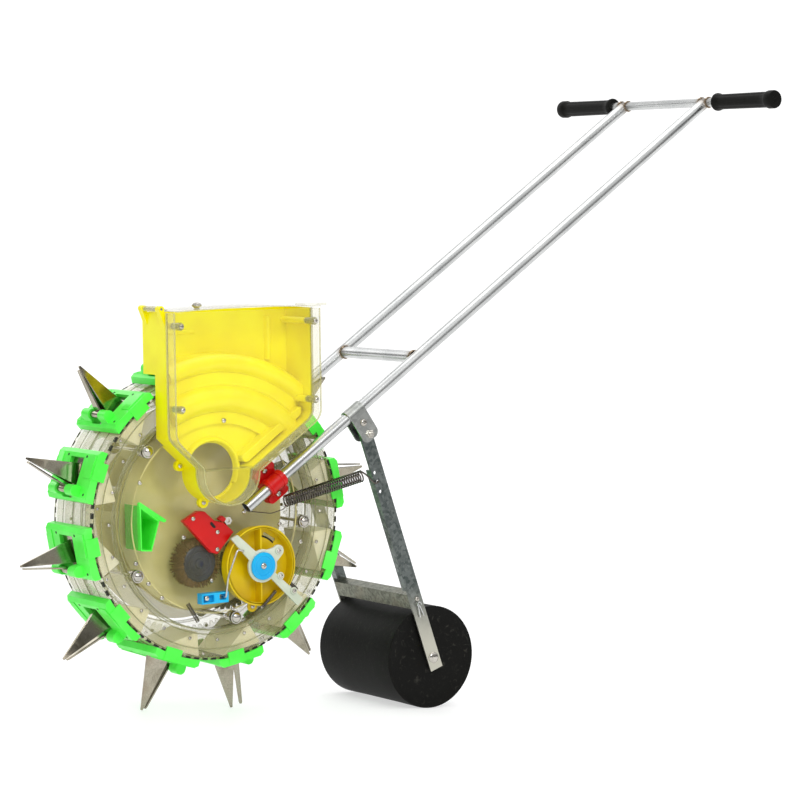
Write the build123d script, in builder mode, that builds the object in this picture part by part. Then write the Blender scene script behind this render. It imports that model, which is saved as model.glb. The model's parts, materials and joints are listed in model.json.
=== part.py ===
from build123d import *
import os
from math import atan2, cos, degrees, hypot, pi, radians, sin

# Push seeder: a wheel of twelve beaks turns round a fixed core that carries the seed box, the metering
# gear and the handle, and a sprung press wheel follows behind. Millimetres, +Z up, +X to the rear (the
# handle side), -Y is the near side with the seed box. The origin is on the ground under the middle of
# the bounding box. Side views are drawn in planes whose x is to the rear, y is up and z is to the near side.

# Driving dimensions ---------------------------------------------------------------------------------
stance_tilt = 4.9           # the core leans this far forward when the machine stands on its own

beak_count = 12
tip_radius = 329.0
tip_half = 1.5
rim_radius = 230.0
rim_wall = 3.0
drum_mid_y = -28.0
drum_half_width = 62.0
lip_radius = 180.0          # track that the guide rollers run on

core_radius = 176.0
plate_thk = 3.0
core_near_y = -87.0
core_far_y = 31.0
tub_back_y = -34.0
wall = 3.0

guide_count = 5
guide_first = 65.5
bearing_radius = 10.6
stud_radius = 3.0
running_gap = 0.05
track_gap = 0.4             # between a guide roller and the track
roller_clearance = 2.4      # between a guide roller and the chamber

gear_module = 3.5
ring_teeth = 108
metering_teeth = 46
brush_drive_teeth = 28
brush_teeth = 29
gear_thk = 7.0
metering_gear_y = 7.0
brush_gear_y = 16.0
metering_angle = -49.1
brush_side_angle = 174.9

box_left, box_right, box_top = -113.0, 158.0, 335.0
bowl_x, bowl_z, bowl_radius = -12.0, 78.0, 51.0
box_back_y, box_split_y, box_front_y = -58.0, -133.0, -160.0
box_step_y = -95.0
wheel_clearance_radius = 262.0
cover_wall = 2.5

handle_angle = 33.9
tube_radius = 10.0
tube_wall = 1.5
tube_y = 113.0
tube_end_x, tube_end_z = 40.8, 14.7
handle_length = 1177.0
mid_bar_at = 410.0
top_bar_radius = 8.0
grip_radius = 16.0
grip_start, grip_length = 145.0, 154.0

strap_at = 254.5
pivot_drop = 42.5
axle_behind = 164.05        # the press axle is this far behind the pivot of its arms
arm_width = 25.0
arm_thk = 3.0
arm_y = 113.0
axle_radius = 6.0
press_radius = 87.0
press_half_width = 106.0

# The ground, the wheel centre and the planes that everything is drawn in ---------------------------
beak_step = 360.0 / beak_count
half_step = radians(beak_step / 2)
ground_drop = tip_radius * cos(half_step) + tip_half * sin(half_step)
tilt = radians(stance_tilt)
grip_reach = tube_end_x + handle_length * cos(radians(handle_angle))
grip_rise = tube_end_z + handle_length * sin(radians(handle_angle))
rear_reach = grip_reach * cos(tilt) - grip_rise * sin(tilt) + grip_radius
wheel_x = (ground_drop - rear_reach) / 2
wheel_z = ground_drop

wheel = Plane(origin=(wheel_x, 0, wheel_z), x_dir=(1, 0, 0), z_dir=(0, -1, 0))
core = Plane(origin=(wheel_x, 0, wheel_z), x_dir=(cos(tilt), 0, sin(tilt)), z_dir=(0, -1, 0))


def wheel_at(y):
    """The upright side-view plane at this y."""
    return wheel.offset(-y)


def core_at(y):
    """The core's own side-view plane, which leans by stance_tilt, at this y."""
    return core.offset(-y)


def world(x, z, y):
    """A point given in the core's side view, in the part's own frame."""
    return Vector(
        wheel_x + x * cos(tilt) - z * sin(tilt), y, wheel_z + x * sin(tilt) + z * cos(tilt)
    )


def polar(radius, angle):
    """Side-view coordinates of a point at this radius and angle."""
    return (radius * cos(radians(angle)), radius * sin(radians(angle)))


def finish(builder, name):
    """Label a finished piece and write it as its own file."""
    builder.part.label = name
    export_step(builder.part, f"parts/{name}.step")


def pins(builder_name, places, radius, y_from, y_to):
    """A group of round pins across the machine, drawn in the core's side view."""
    with BuildPart() as group:
        with BuildSketch(core_at(max(y_from, y_to))):
            with Locations(*places):
                Circle(radius)
        extrude(amount=abs(y_to - y_from))
    finish(group, builder_name)
    return group


os.makedirs("parts", exist_ok=True)

# Places in the core's side view
handle_dir = (cos(radians(handle_angle)), sin(radians(handle_angle)))
handle_side = (-handle_dir[1], handle_dir[0])


def on_handle(along, across=0.0):
    """A point this far up the handle tube, and this far off its axis."""
    return (
        tube_end_x + along * handle_dir[0] + across * handle_side[0],
        tube_end_z + along * handle_dir[1] + across * handle_side[1],
    )


metering_radius = gear_module * (ring_teeth - metering_teeth) / 2
metering_xz = polar(metering_radius, metering_angle)
brush_offset = polar(gear_module * (brush_drive_teeth + brush_teeth) / 2, brush_side_angle)
brush_xz = (metering_xz[0] + brush_offset[0], metering_xz[1] + brush_offset[1])
guide_radius = lip_radius - bearing_radius - track_gap
tub_radius = guide_radius - bearing_radius - roller_clearance
guide_places = [polar(guide_radius, guide_first + 360 / guide_count * n) for n in range(guide_count)]
pivot_xz = on_handle(strap_at, -pivot_drop)
pivot_world = world(*pivot_xz, 0)
axle_world = Vector(pivot_world.X + axle_behind, 0, press_radius)
arm_length = hypot(axle_behind, pivot_world.Z - press_radius)
arm_slope = degrees(atan2(axle_world.Z - pivot_world.Z, axle_world.X - pivot_world.X))

# Core plates, chamber and posts -------------------------------------------------------------------
chute_left = -(tub_radius - 10.0)
chute_corners = [(chute_left, 30), (-110, 4), (-125, -44), (chute_left + 1, -42)]
chute_gap = 0.5
inlet_radius = 44.0
metering_shaft_radius = 5.0
brush_shaft_radius = 4.0

with BuildPart() as near_plate:
    with BuildSketch(core_at(core_near_y + plate_thk)):
        Circle(core_radius)
        with Locations(*guide_places):
            Circle(stud_radius + running_gap, mode=Mode.SUBTRACT)
        with Locations((bowl_x, bowl_z)):
            Circle(inlet_radius, mode=Mode.SUBTRACT)
        with Locations(metering_xz):
            Circle(metering_shaft_radius + running_gap, mode=Mode.SUBTRACT)
        with Locations(brush_xz):
            Circle(brush_shaft_radius + running_gap, mode=Mode.SUBTRACT)
    extrude(amount=plate_thk)
    with BuildSketch(core_at(core_near_y + plate_thk)):
        with BuildLine():
            Polyline(*chute_corners, close=True)
        make_face()
        offset(amount=chute_gap, kind=Kind.INTERSECTION, mode=Mode.REPLACE)
    extrude(amount=plate_thk, mode=Mode.SUBTRACT)
finish(near_plate, "near_plate")

with BuildPart() as far_plate:
    with BuildSketch(core_at(core_far_y)):
        Circle(core_radius)
        with Locations(*guide_places):
            Circle(stud_radius + running_gap, mode=Mode.SUBTRACT)
        with Locations(brush_xz):
            Circle(brush_shaft_radius + running_gap, mode=Mode.SUBTRACT)
    extrude(amount=plate_thk)
finish(far_plate, "far_plate")

tub_front_y = core_near_y + plate_thk
with BuildPart() as seed_tub:
    with BuildSketch(core_at(tub_back_y)):
        Circle(tub_radius)
    extrude(amount=tub_back_y - tub_front_y)
    with BuildSketch(core_at(tub_back_y - wall)):
        Circle(tub_radius - wall)
    extrude(amount=tub_back_y - wall - tub_front_y, mode=Mode.SUBTRACT)
    with BuildSketch(core_at(tub_back_y)):
        with Locations(metering_xz):
            Circle(metering_shaft_radius + running_gap)
        with Locations(brush_xz):
            Circle(brush_shaft_radius + running_gap)
    extrude(amount=wall, mode=Mode.SUBTRACT)
finish(seed_tub, "seed_tub")

post_radius = 6.0
post_circle = 135.0
post_places = [polar(post_circle, angle) for angle in (20, 90, 160)]
tie_posts = pins("tie_posts", post_places, post_radius, tub_back_y, core_far_y - plate_thk)

cap_height = 6.5
cap_radius = 10.5
nut_height = 4.0
with BuildPart() as guide_studs:
    with BuildSketch(core_at(core_far_y + nut_height)):
        with Locations(*guide_places):
            Circle(stud_radius)
    extrude(amount=core_far_y + nut_height - core_near_y)
    with BuildSketch(core_at(core_far_y + nut_height)):
        with Locations(*guide_places):
            RegularPolygon(5.5, 6)
    extrude(amount=nut_height)
    with BuildSketch(core_at(core_near_y)):
        with Locations(*guide_places):
            Circle(cap_radius)
    extrude(amount=cap_height, taper=20)
finish(guide_studs, "guide_studs")

near_track_y = -71.0
far_track_y = 27.0
near_roller_width = 11.0
far_roller_width = 7.0
for n, place in enumerate(guide_places):
    with BuildPart() as guide_roller:
        for y, width in ((near_track_y, near_roller_width), (far_track_y, far_roller_width)):
            with BuildSketch(core_at(y)):
                with Locations(place):
                    Circle(bearing_radius)
                    Circle(stud_radius + running_gap, mode=Mode.SUBTRACT)
            extrude(amount=width)
    finish(guide_roller, f"guide_roller_{n + 1}")

housing_radius = 128.0
housing_flange = 142.0
housing_y = -core_near_y - 0.5
with BuildPart() as far_housing:
    with BuildSketch(core_at(housing_y)):
        Circle(housing_radius)
    extrude(amount=housing_y - core_far_y)
    with BuildSketch(core_at(core_far_y + wall)):
        Circle(housing_flange)
    extrude(amount=wall)
    with BuildSketch(core_at(housing_y - wall)):
        Circle(housing_radius - wall)
    extrude(amount=housing_y - wall - core_far_y, mode=Mode.SUBTRACT)
finish(far_housing, "far_housing")

# Seed box ---------------------------------------------------------------------------------------------
rear_slope_end = (box_right - 8, bowl_z + (box_right - 8 - bowl_x - bowl_radius) * handle_dir[1] / handle_dir[0])


def box_outline():
    """The seed box from the side: a round bowl, a slope to the rear and upright walls."""
    with BuildLine() as edge:
        Polyline(
            (bowl_x + bowl_radius, bowl_z),
            rear_slope_end,
            (box_right, rear_slope_end[1] + 12),
            (box_right, box_top),
            (box_left, box_top),
            (box_left, 135),
            (bowl_x - bowl_radius, 88),
            (bowl_x - bowl_radius, bowl_z),
        )
        ThreePointArc(
            (bowl_x - bowl_radius, bowl_z),
            (bowl_x, bowl_z - bowl_radius),
            (bowl_x + bowl_radius, bowl_z),
        )
    make_face(edge.edges())


def box_inside(thickness):
    """The outline less the wall, and open at the top."""
    box_outline()
    offset(amount=-thickness, mode=Mode.REPLACE)
    with Locations(((box_left + box_right) / 2, box_top - thickness)):
        Rectangle(box_right - box_left - 2 * thickness, 4 * thickness)


foot_places = [(-70, 89), (-28, 27)]
foot_radius = 9.0
screw_radius = 2.0
boss_radius = 5.5
post_inset = 12.0
cover_posts = [
    (box_left + post_inset, box_top - 21),
    (box_left + post_inset, box_top - 152),
    (box_right - post_inset + 3, box_top - 21),
    (box_right - post_inset + 3, box_top - 148),
]
knuckle_xz = (box_left - 5, box_top + 6)
knuckle_radius = 5.0
hinge_pin_radius = 2.0
knuckle_spans = [(-62, -74), (-116, -128)]
pad_clearance = 2.5
pad_radius = guide_radius - cap_radius - pad_clearance
box_seat_y = core_near_y - 0.5

with BuildPart() as seed_box:
    with BuildSketch(core_at(box_back_y)):
        box_outline()
    extrude(amount=box_back_y - box_split_y)
    with BuildSketch(core_at(box_back_y)):
        Circle(wheel_clearance_radius)
    extrude(amount=box_back_y - box_step_y, mode=Mode.SUBTRACT)
    with BuildSketch(core_at(box_seat_y)):
        box_outline()
        Circle(pad_radius, mode=Mode.INTERSECT)
        with Locations(*foot_places):
            Circle(foot_radius)
    extrude(amount=box_seat_y - box_step_y)
    with BuildSketch(core_at(box_back_y - wall)):
        box_inside(wall)
        Circle(wheel_clearance_radius + wall, mode=Mode.SUBTRACT)
    extrude(amount=box_back_y - wall - box_split_y, mode=Mode.SUBTRACT)
    with BuildSketch(core_at(box_step_y - wall)):
        box_inside(wall)
        Circle(wheel_clearance_radius + wall, mode=Mode.INTERSECT)
    extrude(amount=box_step_y - wall - box_split_y, mode=Mode.SUBTRACT)
    with BuildSketch(core_at(box_seat_y - wall)):
        box_inside(wall)
        Circle(pad_radius - wall, mode=Mode.INTERSECT)
    extrude(amount=box_seat_y - box_step_y, mode=Mode.SUBTRACT)
    with BuildSketch(core_at(box_seat_y)):
        with Locations((bowl_x, bowl_z)):
            Circle(inlet_radius)
        with Locations(*foot_places):
            Circle(screw_radius)
    extrude(amount=box_seat_y - box_step_y, mode=Mode.SUBTRACT)
    for place in cover_posts:
        back = box_back_y if hypot(*place) > wheel_clearance_radius + boss_radius else box_step_y
        with BuildSketch(core_at(back - wall)):
            with Locations(place):
                Circle(boss_radius)
                Circle(screw_radius, mode=Mode.SUBTRACT)
        extrude(amount=back - wall - box_split_y)
    for y_far, y_near in knuckle_spans:
        with BuildSketch(core_at(y_far)):
            with Locations(knuckle_xz):
                Circle(knuckle_radius)
            with BuildLine():
                Polyline(
                    (box_left, box_top - 20),
                    (box_left, knuckle_xz[1]),
                    (box_left - 2 * knuckle_radius, knuckle_xz[1]),
                    close=True,
                )
            make_face()
            with Locations(knuckle_xz):
                Circle(hinge_pin_radius + running_gap, mode=Mode.SUBTRACT)
        extrude(amount=y_far - y_near)
finish(seed_box, "seed_box")

rib_thk = 2.0
with BuildPart() as box_cover:
    with BuildSketch(core_at(box_split_y)):
        box_outline()
    extrude(amount=box_split_y - box_front_y)
    with BuildSketch(core_at(box_split_y)):
        box_inside(cover_wall)
    extrude(amount=box_split_y - box_front_y - cover_wall, mode=Mode.SUBTRACT)
    with BuildSketch(core_at(box_split_y)):
        with Locations(*cover_posts):
            Circle(boss_radius)
            Circle(screw_radius, mode=Mode.SUBTRACT)
        with Locations((bowl_x, bowl_z + 6)):
            Rectangle(2 * bowl_radius - 2, rib_thk)
    extrude(amount=box_split_y - box_front_y - cover_wall)
    with BuildSketch(core_at(box_front_y + cover_wall)):
        with Locations(*cover_posts):
            Circle(screw_radius)
    extrude(amount=cover_wall, mode=Mode.SUBTRACT)
finish(box_cover, "box_cover")

screw_length = 60.0
with BuildPart() as cover_screws:
    with BuildSketch(core_at(box_front_y + min(screw_length, box_step_y - wall - box_front_y))):
        with Locations(*cover_posts):
            Circle(screw_radius - 0.1)
    extrude(amount=min(screw_length, box_step_y - wall - box_front_y))
    with BuildSketch(core_at(box_front_y)):
        with Locations(*cover_posts):
            Circle(screw_radius * 2)
    extrude(amount=2)
finish(cover_screws, "cover_screws")

lid_thk = 2.0
lid_gap = 1.5
barrel_gap = 1.0
lid_barrel_radius = 4.5
with BuildPart() as box_lid:
    with BuildSketch(core_at(box_back_y + 2)):
        with BuildLine():
            Line((box_left + 3, box_top + lid_gap), (box_right + 2, box_top + lid_gap))
            Line((box_right + 2, box_top + lid_gap), (box_right + 2, box_top + lid_gap + lid_thk))
            Line((box_right + 2, box_top + lid_gap + lid_thk), (box_left + 3, box_top + lid_gap + lid_thk))
            Line((box_left + 3, box_top + lid_gap + lid_thk), (box_left + 3, box_top + lid_gap))
        make_face()
    extrude(amount=box_back_y + 4 - box_front_y)
    with BuildSketch(core_at(knuckle_spans[0][1] - barrel_gap)):
        with Locations(knuckle_xz):
            Circle(lid_barrel_radius)
        with BuildLine():
            Polyline(
                (knuckle_xz[0], box_top + lid_gap),
                (box_left + 8, box_top + lid_gap),
                (box_left + 8, box_top + lid_gap + lid_thk),
                (knuckle_xz[0], knuckle_xz[1]),
                close=True,
            )
        make_face()
        with Locations(knuckle_xz):
            Circle(hinge_pin_radius + running_gap, mode=Mode.SUBTRACT)
    extrude(amount=knuckle_spans[0][1] - knuckle_spans[1][0] - 2 * barrel_gap)
finish(box_lid, "box_lid")
lid_pin = pins("lid_pin", [knuckle_xz], hinge_pin_radius, knuckle_spans[0][0], knuckle_spans[1][1])

# Small parts on the near plate --------------------------------------------------------------------------
chute_wall = 2.5
chute_back_y, chute_front_y = -46.0, -96.0
with BuildPart() as seed_chute:
    with BuildSketch(core_at(chute_back_y)):
        with BuildLine():
            Polyline(*chute_corners, close=True)
        make_face()
    extrude(amount=chute_back_y - chute_front_y)
    with BuildSketch(core_at(chute_back_y - chute_wall)):
        with BuildLine():
            Polyline(*chute_corners, close=True)
        make_face()
        offset(amount=-chute_wall, mode=Mode.REPLACE)
    extrude(amount=chute_back_y - chute_wall - chute_front_y, mode=Mode.SUBTRACT)
    with BuildSketch(core_at(core_near_y - 1)):
        with BuildLine():
            Polyline(
                (chute_left - 1, 33), (chute_left + 2, 36), (-96, 4), (-99, 0), (-110, 4), (chute_left, 30), close=True
            )
        make_face()
    extrude(amount=core_near_y - 3 - chute_front_y)
finish(seed_chute, "seed_chute")

shield_corners = [(-68, 0), (-40, 14), (-28, 13), (-10, -3), (8, -8), (26, -24), (-5, -58), (-16, -55)]
shield_screws = [(-50, 3), (-5, -22), (-6, -50)]
shield_front_y = -98.0
with BuildPart() as brush_shield:
    with BuildSketch(core_at(core_near_y)):
        with BuildLine():
            Polyline(*shield_corners, close=True)
        make_face()
    extrude(amount=core_near_y - shield_front_y)
    with BuildSketch(core_at(core_near_y)):
        with BuildLine():
            Polyline(*shield_corners, close=True)
        make_face()
        offset(amount=-2.5, mode=Mode.REPLACE)
    extrude(amount=core_near_y - shield_front_y - 2.5, mode=Mode.SUBTRACT)
finish(brush_shield, "brush_shield")

cup_outer = 63.0
cup_front_y = -108.0
cup_hub = 14.0
cup_floor = 2.5
hub_bore_depth = 13.0
lever_gap = 0.5
lever_thk = 4.0
lever_back_y = cup_front_y - lever_gap
lever_front_y = lever_back_y - lever_thk
with BuildPart() as metering_housing:
    with BuildSketch(core_at(core_near_y)):
        with Locations(metering_xz):
            Circle(cup_outer)
        with Locations((metering_xz[0] - 7, metering_xz[1] - 68)):
            Circle(foot_radius)
            Circle(screw_radius, mode=Mode.SUBTRACT)
    extrude(amount=cup_floor)
    with BuildSketch(core_at(core_near_y)):
        with Locations(metering_xz):
            Circle(cup_outer)
            Circle(cup_outer - wall, mode=Mode.SUBTRACT)
            Rectangle(2.5, 2 * cup_outer - wall)
            Circle(cup_hub)
    extrude(amount=core_near_y - cup_front_y)
    with BuildSketch(core_at(cup_front_y)):
        with Locations(metering_xz):
            Circle(metering_shaft_radius)
    extrude(amount=cup_front_y - lever_front_y - running_gap)
    with BuildSketch(core_at(core_near_y)):
        with Locations(metering_xz):
            Circle(metering_shaft_radius + running_gap)
    extrude(amount=hub_bore_depth, mode=Mode.SUBTRACT)
    with BuildSketch(core_at(core_near_y)):
        with Locations(metering_xz):
            with PolarLocations(cup_outer - 12, 1, start_angle=58):
                SlotOverall(26, 5, rotation=90)
    extrude(amount=cup_floor, mode=Mode.SUBTRACT)
finish(metering_housing, "metering_housing")

lever_hub = 27.0
link_hole_xz = (metering_xz[0] - 37, metering_xz[1] + 27)
with BuildPart() as rate_lever:
    with BuildSketch(core_at(lever_back_y)):
        with Locations(metering_xz):
            Circle(lever_hub)
        with BuildLine():
            Polyline(
                (metering_xz[0] - 10, metering_xz[1] + 22),
                (metering_xz[0] - 47, metering_xz[1] + 54),
                (metering_xz[0] - 59, metering_xz[1] + 49),
                (metering_xz[0] - 24, metering_xz[1] + 10),
                close=True,
            )
        make_face()
        with Locations((metering_xz[0] + 30, metering_xz[1] + 22)):
            Circle(10)
        with BuildLine():
            Polyline(
                (metering_xz[0] + 2, metering_xz[1] + 24),
                (metering_xz[0] + 33, metering_xz[1] + 31),
                (metering_xz[0] + 36, metering_xz[1] + 14),
                (metering_xz[0] + 24, metering_xz[1] + 2),
                close=True,
            )
        make_face()
        with BuildLine():
            Polyline(
                (metering_xz[0] + 20, metering_xz[1] - 10),
                (metering_xz[0] + 76, metering_xz[1] - 60),
                (metering_xz[0] + 66, metering_xz[1] - 71),
                (metering_xz[0] + 12, metering_xz[1] - 18),
                close=True,
            )
        make_face()
        with Locations(link_hole_xz):
            Circle(2.2, mode=Mode.SUBTRACT)
        with Locations(metering_xz):
            Circle(metering_shaft_radius + running_gap, mode=Mode.SUBTRACT)
    extrude(amount=lever_thk)
finish(rate_lever, "rate_lever")

cap_disc_radius = 22.5
cap_disc_thk = 3.5
lever_cap = pins("lever_cap", [metering_xz], cap_disc_radius, lever_front_y, lever_front_y - cap_disc_thk)

latch_pivot_xz = (-30, -127)
latch_pin_radius = 2.5
with BuildPart() as latch:
    with BuildSketch(core_at(core_near_y - 1)):
        with Locations((-14, -128)):
            Rectangle(50, 17)
        with Locations(latch_pivot_xz):
            Circle(latch_pin_radius + 0.1, mode=Mode.SUBTRACT)
        with Locations((0, -127)):
            Rectangle(12, 9, mode=Mode.SUBTRACT)
    extrude(amount=15)
    with BuildSketch(core_at(core_near_y - 8)):
        with Locations((-26, -128)):
            Rectangle(20, 11)
    extrude(amount=8, mode=Mode.SUBTRACT)
finish(latch, "latch")

link_radius = 1.5
link_y = lever_front_y - 2.5
link_corners = [
    world(*link_hole_xz, lever_back_y + 0.5),
    world(*link_hole_xz, link_y),
    world(link_hole_xz[0] - 12, link_hole_xz[1] + 4, link_y),
    world(0, -127, link_y + 2),
    world(0, -127, -97),
]
with BuildPart() as link_wire:
    with BuildLine() as link_line:
        FilletPolyline(*link_corners, radius=2.6)
    with BuildSketch(Plane(origin=link_line.line @ 0, z_dir=link_line.line % 0)):
        Circle(link_radius)
    sweep(path=link_line.line)
finish(link_wire, "link_wire")

spring_ends = [
    ((94, -125, -113), (68, -149, -113)),
    ((130, -114, -96), (146, -129, -96)),
    ((-60, -134, -93), (-41, -165, -93)),
]
small_spring_radius = 3.2
with BuildPart() as small_springs:
    for (x1, z1, y1), (x2, z2, y2) in spring_ends:
        start, end = world(x1, z1, y1), world(x2, z2, y2)
        with BuildSketch(Plane(origin=start, z_dir=end - start)):
            Circle(small_spring_radius)
            Circle(small_spring_radius - 1, mode=Mode.SUBTRACT)
        extrude(amount=(end - start).length)
finish(small_springs, "small_springs")

plate_screw_places = [(-104, -121), (-150, -62), (12, -160), (160, -52), (120, -20), (-140, 66), (84, -152)]
with BuildPart() as plate_screws:
    with BuildSketch(core_at(core_near_y)):
        with Locations(*plate_screw_places):
            Circle(4)
    extrude(amount=3, taper=15)
    with BuildSketch(core_at(core_near_y)):
        with Locations(latch_pivot_xz):
            Circle(latch_pin_radius)
    extrude(amount=18)
    with BuildSketch(core_at(shield_front_y)):
        with Locations(*shield_screws):
            Circle(3.5)
    extrude(amount=2.5, taper=15)
finish(plate_screws, "plate_screws")

# Metering wheel and brush, each with its gear on the ring gear ----------------------------------------
addendum = 0.75 * gear_module
dedendum = 1.0 * gear_module
tooth_pitch = pi * gear_module
tooth_width = 0.44 * tooth_pitch
flank = 0.36


def tooth_points(teeth, phase, root, tip, inward, centre=(0, 0)):
    """Corner points of straight-flanked teeth round a circle, drawn from root to tip and back."""
    pitch_radius = gear_module * teeth / 2
    points = []
    for n in range(teeth):
        middle = radians(phase + 360 / teeth * n)
        for radius, sign in ((root, -1), (tip, -1), (tip, 1), (root, 1)):
            rise = pitch_radius - radius if inward else radius - pitch_radius
            turn = middle + sign * (tooth_width / 2 - flank * rise) / radius
            points.append((centre[0] + radius * cos(turn), centre[1] + radius * sin(turn)))
    return points


def spur_face(teeth, phase, centre):
    """The outline of an outside-toothed gear."""
    pitch_radius = gear_module * teeth / 2
    corners = tooth_points(teeth, phase, pitch_radius - dedendum, pitch_radius + addendum, False, centre)
    with BuildLine() as edge:
        Polyline(*corners, close=True)
    make_face(edge.edges())


rotor_gap = 1.5
rotor_radius = tub_radius - wall - rotor_gap - metering_radius
rotor_y, rotor_front_y = -46.0, -78.0
cell_count = 10
cell_radius = 6.0
metering_world_angle = metering_angle + stance_tilt
with BuildPart() as metering_wheel:
    with BuildSketch(core_at(brush_gear_y + 0.5)):
        with Locations(metering_xz):
            Circle(metering_shaft_radius)
    extrude(amount=brush_gear_y + 0.5 - core_near_y + hub_bore_depth - lever_gap)
    with BuildSketch(core_at(rotor_y)):
        with Locations(metering_xz):
            Circle(rotor_radius)
            with PolarLocations(rotor_radius, cell_count):
                Circle(cell_radius, mode=Mode.SUBTRACT)
    extrude(amount=rotor_y - rotor_front_y)
    with BuildSketch(core_at(metering_gear_y)):
        spur_face(metering_teeth, metering_angle, metering_xz)
        with Locations(metering_xz):
            with PolarLocations(50, 6):
                Circle(17, mode=Mode.SUBTRACT)
    extrude(amount=gear_thk)
    with BuildSketch(core_at(brush_gear_y)):
        spur_face(brush_drive_teeth, brush_side_angle, metering_xz)
    extrude(amount=gear_thk)
finish(metering_wheel, "metering_wheel")

# a gap between the brush gear's teeth faces the gear that drives it
brush_phase = brush_side_angle + 180 + 180 / brush_teeth
bristle_radius = 41.0
brush_hub = 30.0
brush_back_y, brush_front_y = -50.0, -80.0
with BuildPart() as brush:
    with BuildSketch(core_at(core_far_y)):
        with Locations(brush_xz):
            Circle(brush_shaft_radius)
    extrude(amount=core_far_y - core_near_y)
    with BuildSketch(core_at(brush_back_y)):
        with Locations(brush_xz):
            Circle(bristle_radius)
    extrude(amount=brush_back_y - brush_front_y)
    with BuildSketch(core_at(brush_gear_y)):
        spur_face(brush_teeth, brush_phase, brush_xz)
    extrude(amount=gear_thk)
finish(brush, "brush")

# Wheel: ring halves, seed cups, beak seats, beaks and jaws ---------------------------------------------
drum_near_y = drum_mid_y - drum_half_width
drum_far_y = drum_mid_y + drum_half_width
web_inset = 2.0
near_lip_y, far_lip_y = -68.0, 19.0
window_length, window_width = 40.0, 36.0
beak_angles = [beak_step / 2 + beak_step * n for n in range(beak_count)]


def ring_half(edge_y, lip_y, into):
    """Half of the ring: an outer band, a flat annular web and an inner lip that the rollers run on."""
    with BuildSketch(wheel_at(drum_mid_y)) as band:
        Circle(rim_radius)
        Circle(rim_radius - rim_wall, mode=Mode.SUBTRACT)
    extrude(band.sketch, amount=drum_mid_y - edge_y)
    with BuildSketch(wheel_at(edge_y + into * web_inset)) as web:
        Circle(rim_radius)
        Circle(lip_radius, mode=Mode.SUBTRACT)
    extrude(web.sketch, amount=-into * rim_wall)
    with BuildSketch(wheel_at(edge_y)) as lip:
        Circle(lip_radius + rim_wall)
        Circle(lip_radius, mode=Mode.SUBTRACT)
    extrude(lip.sketch, amount=edge_y - lip_y)


with BuildPart() as window_cutter:
    with Locations(wheel_at(drum_mid_y)):
        with PolarLocations(rim_radius, beak_count, start_angle=beak_angles[0]):
            Box(6 * rim_wall, window_length, window_width)
with BuildPart() as ring_near:
    ring_half(drum_near_y, near_lip_y, 1)
    add(window_cutter.part, mode=Mode.SUBTRACT)
finish(ring_near, "ring_near")

gear_far_y = metering_gear_y
gear_near_y = metering_gear_y - gear_thk
ring_pitch_radius = gear_module * ring_teeth / 2
gear_ring_outer = ring_pitch_radius + dedendum + 4.0
ring_phase = metering_world_angle + 180 / ring_teeth
with BuildPart() as ring_far:
    ring_half(drum_far_y, far_lip_y, -1)
    with BuildSketch(wheel_at(gear_far_y)):
        Circle(rim_radius - rim_wall / 2)
        Circle(gear_ring_outer, mode=Mode.SUBTRACT)
    extrude(amount=rim_wall)
    with BuildSketch(wheel_at(gear_far_y)):
        Circle(gear_ring_outer + 0.5)
        with BuildLine():
            Polyline(
                *tooth_points(ring_teeth, ring_phase, ring_pitch_radius + dedendum, ring_pitch_radius - addendum, True),
                close=True,
            )
        make_face(mode=Mode.SUBTRACT)
    extrude(amount=gear_far_y - gear_near_y)
    add(window_cutter.part, mode=Mode.SUBTRACT)
finish(ring_far, "ring_far")

cup_far_y, cup_near_y = metering_gear_y - gear_thk, drum_near_y + web_inset + rim_wall
cup_wall = 2.0
cup_inner = lip_radius + 6.0
with BuildPart() as seed_cups:
    with BuildSketch(wheel_at(cup_far_y)):
        for angle in beak_angles:
            outer = rim_radius - rim_wall - 0.5
            corner = [polar(outer, angle - 9), polar(cup_inner, angle + 8), polar(outer, angle + 12)]
            inner = [
                polar(outer - 0.5, angle + 11.4),
                polar(cup_inner + 3.5, angle + 8),
                polar(outer - 0.5, angle - 8.2),
            ]
            with BuildLine():
                Polyline(*corner, *inner, close=True)
            make_face()
    extrude(amount=cup_far_y - cup_near_y)
finish(seed_cups, "seed_cups")

seat_radius = 242.0
seat_half_length, seat_half_width = 42.0, 64.0
seat_gap = 0.2
tab_shift, tab_length, tab_depth = -10.0, 30.0, 3.2
boss_at, boss_height, boss_size = 27.0, 249.0, 9.0
boss_inner, boss_outer = 15.2, 38.0
jaw_pin_radius = 2.5
jaw_pin_half = 28.0
jaw_pin_gap = 0.1
slot_half_width = 21.5

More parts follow.
